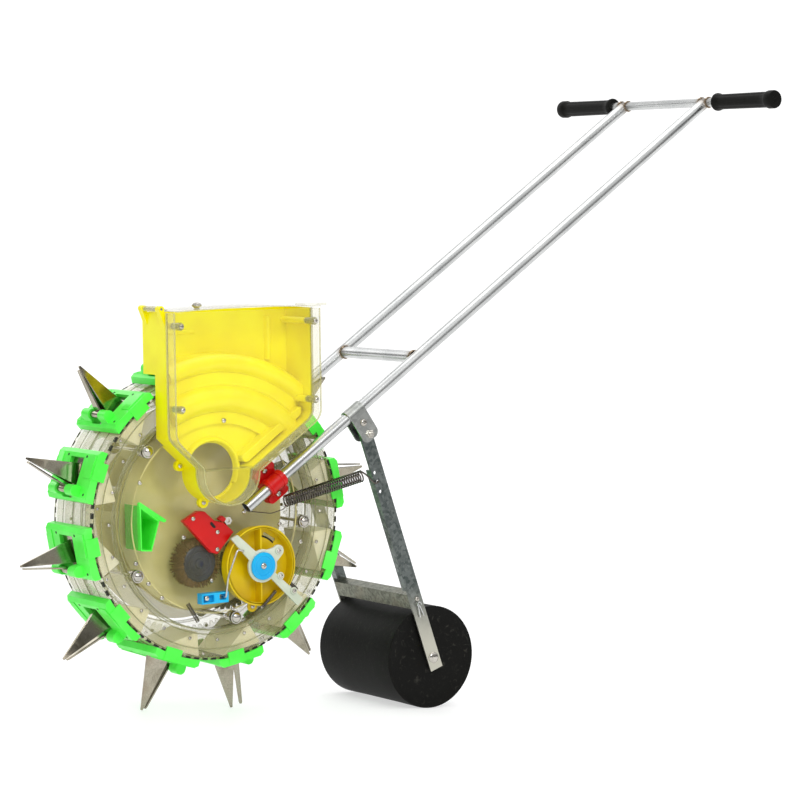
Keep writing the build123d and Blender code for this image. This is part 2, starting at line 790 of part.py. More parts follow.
# One seat, drawn with x outwards along its radius, y round the rim and z to the near side
with BuildPart(mode=Mode.PRIVATE) as seat_master:
    with BuildSketch(Plane.XY.offset(-seat_half_width)):
        with BuildLine():
            Polyline(
                (rim_radius - 8, -seat_half_length),
                (seat_radius - 5, -seat_half_length),
                (seat_radius, -seat_half_length + 7),
                (seat_radius, seat_half_length - 7),
                (seat_radius - 5, seat_half_length),
                (rim_radius - 8, seat_half_length),
                close=True,
            )
        make_face()
    extrude(amount=2 * seat_half_width)
    with BuildSketch(Plane.XY.offset(-seat_half_width)):
        with Locations((boss_height, boss_at)):
            Circle(boss_size)
        with Locations((boss_height - boss_size / 2 - 1, boss_at)):
            Rectangle(boss_size + 2, 2 * boss_size)
    extrude(amount=2 * seat_half_width)
    with BuildSketch(Plane.XY.offset(-seat_half_width - 1)):
        with Locations((seat_radius + 50, 0)):
            Rectangle(100, 120)
    extrude(amount=seat_half_width + 1 - boss_outer, mode=Mode.SUBTRACT)
    with BuildSketch(Plane.XY.offset(boss_outer)):
        with Locations((seat_radius + 50, 0)):
            Rectangle(100, 120)
    extrude(amount=seat_half_width + 1 - boss_outer, mode=Mode.SUBTRACT)
    with BuildSketch(Plane.XY.offset(-slot_half_width)):
        with Locations((seat_radius, -5)):
            Rectangle(60, 46)
    extrude(amount=2 * slot_half_width, mode=Mode.SUBTRACT)
    with BuildSketch(Plane.XY.offset(-boss_inner)):
        with Locations((seat_radius + 5, 13)):
            Rectangle(70, 50)
    extrude(amount=2 * boss_inner, mode=Mode.SUBTRACT)
    with BuildSketch(Plane.XY.offset(-jaw_pin_half - jaw_pin_gap)):
        with Locations((boss_height, boss_at)):
            Circle(jaw_pin_radius + jaw_pin_gap)
    extrude(amount=2 * (jaw_pin_half + jaw_pin_gap), mode=Mode.SUBTRACT)
    with BuildSketch(Plane.XY.offset(-seat_half_width - 1)):
        Circle(rim_radius + seat_gap)
    extrude(amount=2 * seat_half_width + 2, mode=Mode.SUBTRACT)
    for z in (drum_half_width + 0.3, -drum_half_width - 0.3 - tab_depth):
        with BuildSketch(Plane.XY.offset(z)):
            with Locations((seat_radius - 11, tab_shift)):
                Rectangle(22, tab_length)
        extrude(amount=tab_depth)

with BuildPart() as beak_seats:
    with Locations(wheel_at(drum_mid_y)):
        with PolarLocations(0, beak_count, start_angle=beak_angles[0]):
            add(seat_master.part)
finish(beak_seats, "beak_seats")

beak_base = 233.0
beak_wall = 1.6
spine_at, mouth_at = -20.0, 17.0
spine_half, mouth_half = 3.0, 13.0


def beak_sections(grow, extra_mouth):
    """The beak's wedge: a narrow spine on the leading side, widening to the open mouth, down to the tip."""
    with BuildSketch(Plane.YZ.offset(beak_base)) as base:
        with BuildLine():
            Polyline(
                (spine_at + grow, spine_half - grow * 0.6),
                (mouth_at + extra_mouth, mouth_half - grow),
                (mouth_at + extra_mouth, -mouth_half + grow),
                (spine_at + grow, -spine_half + grow * 0.6),
                close=True,
            )
        make_face()
    with BuildSketch(Plane.YZ.offset(tip_radius)) as tip:
        with BuildLine():
            Polyline(
                (-tip_half + grow * 0.5, tip_half - grow * 0.5),
                (tip_half + extra_mouth, tip_half - grow * 0.5),
                (tip_half + extra_mouth, -tip_half + grow * 0.5),
                (-tip_half + grow * 0.5, -tip_half + grow * 0.5),
                close=True,
            )
        make_face()
    return [base.sketch, tip.sketch]


# One beak in the same frame as the seat
with BuildPart(mode=Mode.PRIVATE) as beak_hollow:
    loft(beak_sections(beak_wall, 8.0), ruled=True)
with BuildPart(mode=Mode.PRIVATE) as beak_master:
    loft(beak_sections(0.0, 0.0), ruled=True)
    add(beak_hollow.part, mode=Mode.SUBTRACT)
    with BuildSketch(Plane.YZ.offset(beak_base)):
        with Locations((-5, 0)):
            Rectangle(46, 2 * slot_half_width)
        with BuildLine():
            Polyline(
                (spine_at + beak_wall, spine_half - 1),
                (mouth_at + 12, mouth_half - beak_wall),
                (mouth_at + 12, -mouth_half + beak_wall),
                (spine_at + beak_wall, -spine_half + 1),
                close=True,
            )
        make_face(mode=Mode.SUBTRACT)
    extrude(amount=2.0)
with BuildPart() as fixed_beaks:
    with Locations(wheel_at(drum_mid_y)):
        with PolarLocations(0, beak_count, start_angle=beak_angles[0]):
            add(beak_master.part)
finish(fixed_beaks, "fixed_beaks")

jaw_hub = 5.5
jaw_side_gap = 0.4
jaw_thk = 2.4
jaw_open = 10.0
open_jaw = 10
jaw_tip_radius = tip_radius - 4.0
jaw_tip_at = tip_half + 1.2
lean = degrees(atan2(boss_at - 6 - jaw_tip_at, jaw_tip_radius - boss_height))
jaw_length = hypot(jaw_tip_radius - boss_height, boss_at - 6 - jaw_tip_at)

# One jaw, closed: a narrow strip from the pivot pin to the beak's tip
with BuildPart(mode=Mode.PRIVATE) as jaw_master:
    with BuildSketch(Plane.XY.offset(-boss_inner + jaw_side_gap)):
        with Locations((boss_height, boss_at)):
            Circle(jaw_hub)
    extrude(amount=2 * (boss_inner - jaw_side_gap))
    with BuildSketch(Plane.XY.offset(-jaw_pin_half)):
        with Locations((boss_height, boss_at)):
            Circle(jaw_pin_radius)
    extrude(amount=2 * jaw_pin_half)
    strip = Plane(
        origin=(boss_height, boss_at - 5.0, 0),
        x_dir=(cos(radians(lean)), -sin(radians(lean)), 0),
        z_dir=(sin(radians(lean)), cos(radians(lean)), 0),
    )
    with BuildSketch(strip):
        with BuildLine():
            Polyline(
                (-2, -9), (jaw_length * 0.55, -6), (jaw_length - 3, -4), (jaw_length, -2),
                (jaw_length, 2), (jaw_length - 3, 4), (jaw_length * 0.55, 6), (-2, 9), close=True,
            )
        make_face()
    extrude(amount=jaw_thk)

for n, angle in enumerate(beak_angles):
    swing = jaw_open if n + 1 == open_jaw else 0.0
    with BuildPart() as jaw:
        with Locations(wheel_at(drum_mid_y)):
            with Locations(Location((0, 0, 0), (0, 0, angle))):
                with Locations(Location((boss_height, boss_at, 0), (0, 0, swing))):
                    with Locations((-boss_height, -boss_at, 0)):
                        add(jaw_master.part)
    finish(jaw, f"jaw_{n + 1:02d}")

# Handle ---------------------------------------------------------------------------------------------
handle_world = world(*handle_dir, 0) - world(0, 0, 0)
top_bar_xz = on_handle(handle_length)
mid_bar_xz = on_handle(mid_bar_at)
for name, y in (("near_tube", -tube_y), ("far_tube", tube_y)):
    with BuildPart() as tube:
        foot = world(tube_end_x, tube_end_z, y)
        with BuildSketch(Plane(origin=foot, z_dir=handle_world)):
            Circle(tube_radius)
            Circle(tube_radius - tube_wall, mode=Mode.SUBTRACT)
        extrude(amount=handle_length)
        with BuildSketch(core_at(2 * tube_y)):
            with Locations(top_bar_xz):
                Circle(top_bar_radius)
        extrude(amount=4 * tube_y, mode=Mode.SUBTRACT)
    finish(tube, name)

bar_end = grip_start + grip_length - 9
with BuildPart() as cross_bars:
    with BuildSketch(core_at(bar_end)):
        with Locations(top_bar_xz):
            Circle(top_bar_radius)
    extrude(amount=2 * bar_end)
    with BuildSketch(core_at(tube_y)):
        with Locations(mid_bar_xz):
            Circle(tube_radius)
    extrude(amount=2 * tube_y)
    for y in (-tube_y, tube_y):
        with BuildSketch(Plane(origin=world(tube_end_x, tube_end_z, y), z_dir=handle_world)):
            Circle(tube_radius)
        extrude(amount=handle_length - 3 * tube_radius, mode=Mode.SUBTRACT)
finish(cross_bars, "cross_bars")

for name, y_far in (("near_grip", -grip_start), ("far_grip", grip_start + grip_length)):
    with BuildPart() as grip:
        with BuildSketch(core_at(y_far)):
            with Locations(top_bar_xz):
                Circle(grip_radius)
        extrude(amount=grip_length)
        chamfer(grip.edges().filter_by(GeomType.CIRCLE), 2.5)
        with BuildSketch(core_at(bar_end)):
            with Locations(top_bar_xz):
                Circle(top_bar_radius)
        extrude(amount=2 * bar_end, mode=Mode.SUBTRACT)
    finish(grip, name)

# Tube clamps on the core plates
clamp_at, clamp_length, clamp_half_span = 66.0, 36.0, 32.0
clamp_wall = 4.0
clamp_screw_at = 23.0
clamp_flange_y = 103.0
clamp_seat_y = -core_near_y
clamp_frame = Plane(origin=world(*on_handle(clamp_at), 0), x_dir=handle_world, z_dir=(0, -1, 0))
with BuildPart() as tube_clamps:
    for side in (1, -1):
        with BuildSketch(clamp_frame.offset(side * clamp_seat_y)):
            RectangleRounded(clamp_length, 2 * clamp_half_span, 6)
        extrude(amount=side * (clamp_flange_y - clamp_seat_y))
        saddle = Plane(
            origin=clamp_frame.origin + Vector(0, -side * tube_y, 0) - handle_world * (clamp_length / 2),
            z_dir=handle_world,
        )
        with BuildSketch(saddle):
            Circle(tube_radius + clamp_wall)
        extrude(amount=clamp_length)
        with BuildSketch(saddle):
            Circle(tube_radius + 0.02)
        extrude(amount=clamp_length, mode=Mode.SUBTRACT)
finish(tube_clamps, "tube_clamps")

with BuildPart() as clamp_bolts:
    for side in (1, -1):
        with BuildSketch(clamp_frame.offset(side * clamp_flange_y)):
            with Locations((0, clamp_screw_at), (0, -clamp_screw_at)):
                Circle(4.5)
        extrude(amount=side * 4.0)
finish(clamp_bolts, "clamp_bolts")

# Press wheel, its arms and the straps that hold them ------------------------------------------------------
strap_thk = 2.5
strap_width = 34.0
strap_drop = 53.0
strap_corner = 11.0
strap_inner = tube_radius + 0.02
strap_frame = Plane(origin=world(*on_handle(strap_at), 0), x_dir=(0, -1, 0), z_dir=handle_world)
pivot_radius = 4.0
strap_bolt_drop = 19.0
with BuildPart() as tube_straps:
    for side in (1, -1):
        with BuildSketch(strap_frame.offset(-strap_width / 2)):
            with Locations((side * tube_y, 0)):
                Circle(strap_inner + strap_thk)
            with Locations((side * tube_y, strap_drop / 2)):
                Rectangle(2 * (strap_inner + strap_thk), strap_drop)
            with Locations((side * tube_y, 0)):
                Circle(strap_inner, mode=Mode.SUBTRACT)
            with Locations((side * tube_y, strap_drop / 2 + 1)):
                Rectangle(2 * strap_inner, strap_drop + 2, mode=Mode.SUBTRACT)
        extrude(amount=strap_width)
    fillet(tube_straps.edges().filter_by(Axis.Y), strap_corner)
    with BuildSketch(core_at(2 * tube_y)):
        with Locations(pivot_xz, on_handle(strap_at, -strap_bolt_drop)):
            Circle(pivot_radius)
    extrude(amount=4 * tube_y, mode=Mode.SUBTRACT)
finish(tube_straps, "tube_straps")

strap_half = strap_inner + strap_thk
with BuildPart() as strap_bolts:
    for y in (-tube_y, tube_y):
        with BuildSketch(core_at(y + strap_half)):
            with Locations(pivot_xz, on_handle(strap_at, -strap_bolt_drop)):
                Circle(pivot_radius)
        extrude(amount=2 * strap_half)
        for head_y in (y + strap_half + 4, y - strap_half):
            with BuildSketch(core_at(head_y)):
                with Locations(pivot_xz, on_handle(strap_at, -strap_bolt_drop)):
                    RegularPolygon(7, 6)
            extrude(amount=4)
finish(strap_bolts, "strap_bolts")

arm_frame = Plane(
    origin=pivot_world,
    x_dir=(cos(radians(arm_slope)), 0, sin(radians(arm_slope))),
    z_dir=(0, -1, 0),
)
arm_top, arm_tail = 14.0, 21.0
arm_flange = 14.0
flange_from = 62.0
spring_hole_at = [68.5, 84.5, 102.5]
spring_hole_side = -5.0
spring_hole_radius = 3.0
scraper_at = 302.0
for name, y in (("near_arm", -arm_y), ("far_arm", arm_y)):
    side = 1 if y < 0 else -1
    with BuildPart() as arm:
        with BuildSketch(arm_frame.offset(-y)):
            with Locations(((arm_length - arm_top + arm_tail) / 2, 0)):
                Rectangle(arm_length + arm_top + arm_tail, arm_width)
            with Locations((0, 0)):
                Circle(pivot_radius + running_gap, mode=Mode.SUBTRACT)
            with Locations((arm_length, 0)):
                Circle(axle_radius + 0.02, mode=Mode.SUBTRACT)
            with Locations(*[(along, spring_hole_side) for along in spring_hole_at]):
                Circle(spring_hole_radius, mode=Mode.SUBTRACT)
        extrude(amount=-side * arm_thk)
        with BuildSketch(arm_frame.offset(-y)):
            with Locations((flange_from + (scraper_at - 20 - flange_from) / 2, -arm_width / 2 + arm_thk / 2)):
                Rectangle(scraper_at - 20 - flange_from, arm_thk)
        extrude(amount=-side * arm_flange)
    finish(arm, name)

scraper_leg, scraper_foot = 26.0, 20.0
scraper_half = arm_y - arm_thk
with BuildPart() as scraper_bar:
    with BuildSketch(arm_frame.offset(-scraper_half)):
        with Locations((scraper_at, -arm_width / 2 + arm_thk / 2)):
            Rectangle(scraper_leg, arm_thk)
        with Locations((scraper_at - scraper_leg / 2 + arm_thk / 2, -arm_width / 2 + scraper_foot / 2)):
            Rectangle(arm_thk, scraper_foot)
    extrude(amount=2 * scraper_half)
finish(scraper_bar, "scraper_bar")

with BuildPart() as split_pins:
    for side in (1, -1):
        with BuildSketch(arm_frame.offset(side * (arm_y + 9))):
            with Locations((scraper_at + 8, 0)):
                Circle(2.5)
        extrude(amount=-side * 9)
        with BuildSketch(arm_frame.offset(side * (arm_y + 6))):
            with Locations((scraper_at + 14, 0)):
                Rectangle(22, 2.5)
        extrude(amount=-side * 2.5)
finish(split_pins, "split_pins")

axle_plane = Plane(origin=axle_world, x_dir=(1, 0, 0), z_dir=(0, -1, 0))
axle_half = arm_y + 5
with BuildPart() as press_axle:
    with BuildSketch(axle_plane.offset(-axle_half)):
        Circle(axle_radius)
    extrude(amount=2 * axle_half)
    for side in (1, -1):
        with BuildSketch(axle_plane.offset(side * arm_y)):
            RegularPolygon(10, 6)
        extrude(amount=side * 5)
finish(press_axle, "press_axle")

press_wall = 5.0
hub_wall = 4.0
axle_gap = 0.08
with BuildPart() as press_roller:
    with BuildSketch(axle_plane.offset(-press_half_width)):
        Circle(press_radius)
    extrude(amount=2 * press_half_width)
    fillet(press_roller.edges().filter_by(GeomType.CIRCLE), 4)
    with BuildSketch(axle_plane.offset(-press_half_width + press_wall)):
        Circle(press_radius - press_wall)
        Circle(axle_radius + hub_wall, mode=Mode.SUBTRACT)
    extrude(amount=2 * (press_half_width - press_wall), mode=Mode.SUBTRACT)
    with BuildSketch(axle_plane.offset(-press_half_width)):
        Circle(axle_radius + axle_gap)
    extrude(amount=2 * press_half_width, mode=Mode.SUBTRACT)
finish(press_roller, "press_roller")

# Tension springs that pull the arms towards the tubes
spring_radius = 10.5
spring_y = 119.0
coil_start_xz = (111, 21)
coil_end_xz = (262, 52)
with BuildPart() as arm_springs:
    for side in (1, -1):
        start = world(*coil_start_xz, -side * spring_y)
        end = world(*coil_end_xz, -side * spring_y)
        with BuildSketch(Plane(origin=start, z_dir=end - start)):
            Circle(spring_radius)
            Circle(spring_radius - 2.5, mode=Mode.SUBTRACT)
        extrude(amount=(end - start).length)
finish(arm_springs, "arm_springs")

# Places that the joints turn about
print("wheel centre", wheel_x, wheel_z)
print("pivot", pivot_world, "axle", axle_world, "arm slope", arm_slope)
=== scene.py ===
# %% [markdown]
# # A push seeder, dressed for its portrait
#
# The machine is a wheel of steel beaks that punch seed into the soil. A clear core stays still inside the
# wheel and carries the seed box, the metering gear and the long handle; a black press wheel follows behind.
# The engineering model is loaded as a fixed frame. This script gives each piece its finished surface: a
# copy of the engineering piece with softened edges where its shape is already right, and a surface worked
# out with numpy where the real piece is rounder, more finely moulded or wound from wire.

# %% Load the frame
import json
from math import cos, pi, radians, sin

import bmesh
import bpy
import numpy as np
from mathutils import Matrix, Vector


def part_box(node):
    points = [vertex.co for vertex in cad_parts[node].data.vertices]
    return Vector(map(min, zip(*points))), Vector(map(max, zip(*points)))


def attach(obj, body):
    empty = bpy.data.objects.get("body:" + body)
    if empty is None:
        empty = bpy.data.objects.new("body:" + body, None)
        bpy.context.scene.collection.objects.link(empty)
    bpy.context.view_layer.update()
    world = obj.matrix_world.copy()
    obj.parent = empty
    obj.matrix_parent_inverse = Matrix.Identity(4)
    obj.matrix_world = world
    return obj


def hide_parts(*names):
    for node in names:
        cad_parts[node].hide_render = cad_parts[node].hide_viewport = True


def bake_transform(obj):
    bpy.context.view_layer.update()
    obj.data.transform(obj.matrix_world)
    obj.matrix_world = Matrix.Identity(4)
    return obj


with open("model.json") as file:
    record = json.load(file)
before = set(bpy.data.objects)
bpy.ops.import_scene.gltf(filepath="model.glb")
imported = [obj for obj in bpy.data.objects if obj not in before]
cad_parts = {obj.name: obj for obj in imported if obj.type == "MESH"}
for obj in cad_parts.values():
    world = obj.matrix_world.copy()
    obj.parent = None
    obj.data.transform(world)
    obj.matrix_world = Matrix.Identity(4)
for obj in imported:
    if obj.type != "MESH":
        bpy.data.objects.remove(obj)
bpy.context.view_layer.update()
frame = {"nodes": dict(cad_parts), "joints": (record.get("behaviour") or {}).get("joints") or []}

# %% [markdown]
# ## Where things are
#
# Every size on the machine is easiest to think of in a side view: x towards the handle, z up, and y across,
# with the seed box on the negative side. The core leans forward by a few degrees while the wheel does not,
# so one helper takes side-view millimetres to metres in the frame, with or without that lean. The wheel's
# centre and the lean are read from the joints, so the looks follow the engineering model.

# %% Side-view coordinates
MM = 0.001
METER_ANGLE = radians(-49.1)
joint_at = {joint["name"]: joint.get("pos_m") for joint in frame["joints"]}
WHEEL = np.array(joint_at["drum_spin"])
to_meter = np.array(joint_at["metering_spin"]) - WHEEL
LEAN = float(np.arctan2(to_meter[2], to_meter[0])) - METER_ANGLE


def placed(points, lean):
    """Side-view millimetres (x, y across, z) round the wheel's centre, as metres in the frame."""
    p = np.asarray(points, float).reshape(-1, 3) * MM
    turned = np.column_stack(
        [p[:, 0] * cos(lean) - p[:, 2] * sin(lean), p[:, 1], p[:, 0] * sin(lean) + p[:, 2] * cos(lean)]
    )
    return turned + WHEEL


def side_view(point, lean=LEAN):
    """The opposite: a point of the frame in metres, as side-view millimetres (x, y, z)."""
    d = (np.asarray(point, float) - WHEEL) / MM
    return np.array([d[0] * cos(lean) + d[2] * sin(lean), d[1], -d[0] * sin(lean) + d[2] * cos(lean)])


def polar(radius, angle):
    """Side-view x and z of a point at this radius and angle in degrees."""
    return np.array([radius * cos(radians(angle)), radius * sin(radians(angle))])


print("wheel centre", WHEEL, "lean", LEAN)

# %% [markdown]
# ## Surfaces from arrays
#
# A turned piece is a profile spun round an axis, a wire is a small circle carried along a path, and a
# sheet-metal or moulded block is an outline given a thickness. Each is worked out as whole numpy arrays:
# a grid of points, and the four corners of each of its quads.

# %% Grids, spun profiles, carried sections and prisms
def quads(rows, columns, wrap_rows, wrap_columns):
    """Corner numbers of the quads of a grid, joined up at its edges where it wraps."""
    index = np.arange(rows * columns).reshape(rows, columns)
    if wrap_rows:
        index = np.vstack([index, index[:1]])
    if wrap_columns:
        index = np.hstack([index, index[:, :1]])
    corners = (index[:-1, :-1], index[1:, :-1], index[1:, 1:], index[:-1, 1:])
    return np.stack(corners, -1).reshape(-1, 4).tolist()


def stack(*shapes):
    """Several shapes as one: their points in a row, and their faces renumbered."""
    points, faces, start = [], [], 0
    for shape_points, shape_faces in shapes:
        points.append(shape_points)
        faces += [[corner + start for corner in face] for face in shape_faces]
        start += len(shape_points)
    return np.vstack(points), faces


def spun(profile, centre=(0.0, 0.0), steps=96, arc=(0.0, 360.0)):
    """A closed profile of (radius, y) spun round the axis through centre: x = r cos a, z = r sin a."""
    loop = np.asarray(profile, float)
    whole = abs(arc[1] - arc[0]) >= 360
    angle = np.radians(np.linspace(*arc, steps, endpoint=not whole))[:, None]
    grid = np.stack(
        [
            centre[0] + loop[:, 0] * np.cos(angle),
            np.broadcast_to(loop[:, 1], (steps, len(loop))),
            centre[1] + loop[:, 0] * np.sin(angle),
        ],
        -1,
    )
    faces = quads(steps, len(loop), whole, True)
    if not whole:
        last = (steps - 1) * len(loop)
        faces += [list(range(len(loop))), list(range(last + len(loop) - 1, last - 1, -1))]
    return grid.reshape(-1, 3), faces


def rod(place, radius, y_start, y_end, steps=20):
    """A plain round rod across the machine, at a side-view place."""
    return spun([(0, y_start), (radius, y_start), (radius, y_end), (0, y_end)], place, steps)


def circle(radius, sides=12):
    """Points round a circle, as (across, up)."""
    turn = np.linspace(0, 2 * pi, sides, endpoint=False)
    return np.column_stack([radius * np.cos(turn), radius * np.sin(turn)])


def carried(path, section, flat=(0, 1, 0), closed=False):
    """A closed section carried along a path: across = tangent x flat, up = across x tangent."""
    path, section = np.asarray(path, float), np.asarray(section, float)
    before, after = np.roll(path, 1, axis=0), np.roll(path, -1, axis=0)
    if not closed:
        before[0], after[-1] = path[0], path[-1]
    tangent = after - before
    tangent /= np.linalg.norm(tangent, axis=1)[:, None]
    across = np.cross(tangent, np.asarray(flat, float))
    across /= np.linalg.norm(across, axis=1)[:, None]
    up = np.cross(across, tangent)
    grid = path[:, None] + section[None, :, :1] * across[:, None] + section[None, :, 1:] * up[:, None]
    faces = quads(len(path), len(section), closed, True)
    if not closed:
        last = (len(path) - 1) * len(section)
        faces += [list(range(len(section))), list(range(last + len(section) - 1, last - 1, -1))]
    return grid.reshape(-1, 3), faces


def rounded(corners, radius, steps=5, closed=True):
    """A polyline with each corner replaced by a curve: p = (1-t)^2 a + 2t(1-t) corner + t^2 b."""
    corners = np.asarray(corners, float)
    count = len(corners)
    pieces = []
    for n in range(count):
        here = corners[n]
        if not closed and n in (0, count - 1):
            pieces.append(here[None])
            continue
        to_last, to_next = corners[n - 1] - here, corners[(n + 1) % count] - here
        reach = min(radius, np.linalg.norm(to_last) * 0.48, np.linalg.norm(to_next) * 0.48)
        a = here + to_last / np.linalg.norm(to_last) * reach
        b = here + to_next / np.linalg.norm(to_next) * reach
        t = np.linspace(0, 1, steps)[:, None]
        pieces.append((1 - t) ** 2 * a + 2 * t * (1 - t) * here + t**2 * b)
    return np.vstack(pieces)


def prism(outline, y_near, y_far):
    """An outline of (x, z) given a thickness from y_near to y_far."""
    outline = np.asarray(outline, float)
    count = len(outline)
    ends = [np.column_stack([outline[:, 0], np.full(count, y), outline[:, 1]]) for y in (y_near, y_far)]
    faces = quads(2, count, False, True) + [list(range(count)), list(range(2 * count - 1, count - 1, -1))]
    return np.vstack(ends), faces


def ring_of(shape, angles):
    """Copies of a shape turned round the wheel's axis: x' = x cos a - z sin a, z' = x sin a + z cos a."""
    points, faces = shape
    turned = []
    for angle in np.radians(angles):
        c, s = cos(angle), sin(angle)
        x = points[:, 0] * c - points[:, 2] * s
        z = points[:, 0] * s + points[:, 2] * c
        turned.append((np.column_stack([x, points[:, 1], z]), faces))
    return stack(*turned)


# %% [markdown]
# ## From arrays to pieces
#
# Every piece sits at the origin with its place in its mesh, rides on one of the engineering bodies, and
# hides the engineering nodes it stands for. Doubles are merged first and normals are made to agree, so
# that poles and seams are closed; edges sharper than a limit stay crisp and the rest is smooth.

# %% Making a piece
def finish_piece(piece, finish, body, nodes, bevel, sharp):
    """Gives a mesh its finish, its shading and its body, and hides the nodes it replaces."""
    mesh = piece.data
    mesh.materials.clear()
    mesh.materials.append(finish)
    mesh.shade_smooth()
    mesh.set_sharp_from_angle(angle=radians(sharp))
    if bevel:
        soft = piece.modifiers.new("soft edges", "BEVEL")
        soft.width, soft.segments, soft.limit_method = bevel * MM, 3, "ANGLE"
        soft.angle_limit, soft.harden_normals = radians(32), True
    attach(piece, body)
    if nodes:
        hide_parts(*nodes)
    print(f"{piece.name}: {len(mesh.polygons)} faces on {body}")
    return piece


def make(name, shape, finish, body="core", nodes=(), lean=LEAN, bevel=None, sharp=35):
    """A piece from side-view points and faces."""
    points, faces = shape
    mesh = bpy.data.meshes.new(name)
    mesh.from_pydata(placed(points, lean).tolist(), [], faces)
    shell = bmesh.new()
    shell.from_mesh(mesh)
    bmesh.ops.remove_doubles(shell, verts=shell.verts, dist=1e-6)
    bmesh.ops.dissolve_degenerate(shell, edges=shell.edges, dist=1e-7)
    bmesh.ops.recalc_face_normals(shell, faces=shell.faces)
    shell.to_mesh(mesh)
    shell.free()
    piece = bpy.data.objects.new(name, mesh)
    bpy.context.scene.collection.objects.link(piece)
    return finish_piece(piece, finish, body, nodes, bevel, sharp)


def softened(node, width, finish, body="core", name=None, sharp=32):
    """A copy of an engineering node, merged, its flat faces joined up and its edges rounded by width."""
    source = frame["nodes"][node]
    mesh = bpy.data.meshes.new(name or f"{node}_look")
    shell = bmesh.new()
    shell.from_mesh(source.data)
    bmesh.ops.remove_doubles(shell, verts=shell.verts, dist=2e-6)
    bmesh.ops.dissolve_limit(
        shell, angle_limit=radians(0.6), verts=shell.verts, edges=shell.edges, use_dissolve_boundaries=False
    )
    shell.to_mesh(mesh)
    shell.free()
    piece = bpy.data.objects.new(mesh.name, mesh)
    bpy.context.scene.collection.objects.link(piece)
    return finish_piece(piece, finish, body, (node,), width, sharp)


def dressed(node, finish):
    """An engineering node that keeps its shape and only gets a better surface."""
    for holder in frame["nodes"][node].material_slots:
        holder.link = "OBJECT"
        holder.material = finish


# %% [markdown]
# ## Shader maths that reads like arithmetic
#
# A finish is a node tree, but its recipe is easier to follow as an expression. `Wire` wraps one socket and
# turns +, -, * and / into Math nodes. `Finish` owns a Principled shader and one `node` method that makes
# any other node from its settings and the values or wires of its sockets.

# %% Wires and finishes
class Wire:
    """One output socket that can be used in arithmetic."""

    def __init__(self, owner, socket):
        self.owner, self.socket = owner, socket

    def _math(self, operation, a, b):
        return self.owner.node("ShaderNodeMath", {"operation": operation}, {0: a, 1: b})

    def __add__(self, other):
        return self._math("ADD", self, other)

    def __sub__(self, other):
        return self._math("SUBTRACT", self, other)

    def __rsub__(self, other):
        return self._math("SUBTRACT", other, self)

    def __mul__(self, other):
        return self._math("MULTIPLY", self, other)

    def __truediv__(self, other):
        return self._math("DIVIDE", self, other)

    def __pow__(self, other):
        return self._math("POWER", self, other)

    def above(self, low, high):
        """0 below low, 1 above high, and smooth between."""
        settings = {"interpolation_type": "SMOOTHSTEP"}
        sockets = {"Value": self, "From Min": low, "From Max": high}
        return self.owner.node("ShaderNodeMapRange", settings, sockets)

    __radd__ = __add__
    __rmul__ = __mul__


class Finish:
    """A material with one Principled shader, fed by expressions."""

    def __init__(self, name, **constants):
        self.material = bpy.data.materials.new(name)
        self.material.use_nodes = True
        self.tree = self.material.node_tree
        self.tree.nodes.clear()
        self.shader = self.tree.nodes.new("ShaderNodeBsdfPrincipled")
        output = self.tree.nodes.new("ShaderNodeOutputMaterial")
        self.tree.links.new(self.shader.outputs[0], output.inputs["Surface"])
        self.where = self.node("ShaderNodeTexCoord", output="Object")
        for socket, value in constants.items():
            self.shader.inputs[socket.replace("_", " ")].default_value = value

    def node(self, kind, settings=None, sockets=None, output=0):
        """Makes a node, applies its settings first, then feeds its sockets values or wires."""
        made = self.tree.nodes.new(kind)
        for key, value in (settings or {}).items():
            setattr(made, key, value)
        for key, value in (sockets or {}).items():
            if isinstance(value, Wire):
                self.tree.links.new(value.socket, made.inputs[key])
            else:
                made.inputs[key].default_value = value
        return Wire(self, made.outputs[output])

    def stretched(self, along):
        """The Object coordinates multiplied by a vector, so that a pattern is drawn out."""
        return self.node("ShaderNodeVectorMath", {"operation": "MULTIPLY"}, {0: self.where, 1: along})

    def noise(self, grain_mm, detail=3.0, where=None, distortion=0.0):
        """Cloudy values round 0.5 whose patches are about grain_mm across."""
        sockets = {"Vector": where or self.where, "Scale": 1 / (grain_mm * MM), "Detail": detail}
        return self.node("ShaderNodeTexNoise", None, sockets | {"Distortion": distortion})

    def cells(self, grain_mm):
        """A random grey for each crystal-like cell about grain_mm across."""
        sockets = {"Vector": self.where, "Scale": 1 / (grain_mm * MM)}
        colour = self.node("ShaderNodeTexVoronoi", None, sockets, "Color")
        return self.node("ShaderNodeSeparateColor", None, {0: colour})

    def near(self, point, reach_mm):
        """1 at a point of the frame, fading to 0 at reach_mm from it."""
        sockets = {0: self.where, 1: tuple(point)}
        gap = self.node("ShaderNodeVectorMath", {"operation": "DISTANCE"}, sockets, "Value")
        return 1 - gap.above(0.3 * reach_mm * MM, reach_mm * MM)

    def height(self, low, high):
        """0 below the height low and 1 above the height high, in metres."""
        return self.node("ShaderNodeSeparateXYZ", None, {0: self.where}, "Z").above(low, high)

    def mix(self, amount, first, second):
        """A colour between two colours."""
        return self.node("ShaderNodeMix", {"data_type": "RGBA"}, {0: amount, 6: first, 7: second}, 2)

    def bumps(self, height, depth_mm, strength=1.0):
        """Feeds a height map to the shader's normal."""
        sockets = {"Height": height, "Distance": depth_mm * MM, "Strength": strength}
        normal = self.node("ShaderNodeBump", None, sockets)
        self.tree.links.new(normal.socket, self.shader.inputs["Normal"])

    def set(self, **wires):
        """Links wires to the shader's sockets."""
        for socket, wire in wires.items():
            self.tree.links.new(wire.socket, self.shader.inputs[socket.replace("_", " ")])
        return self.material


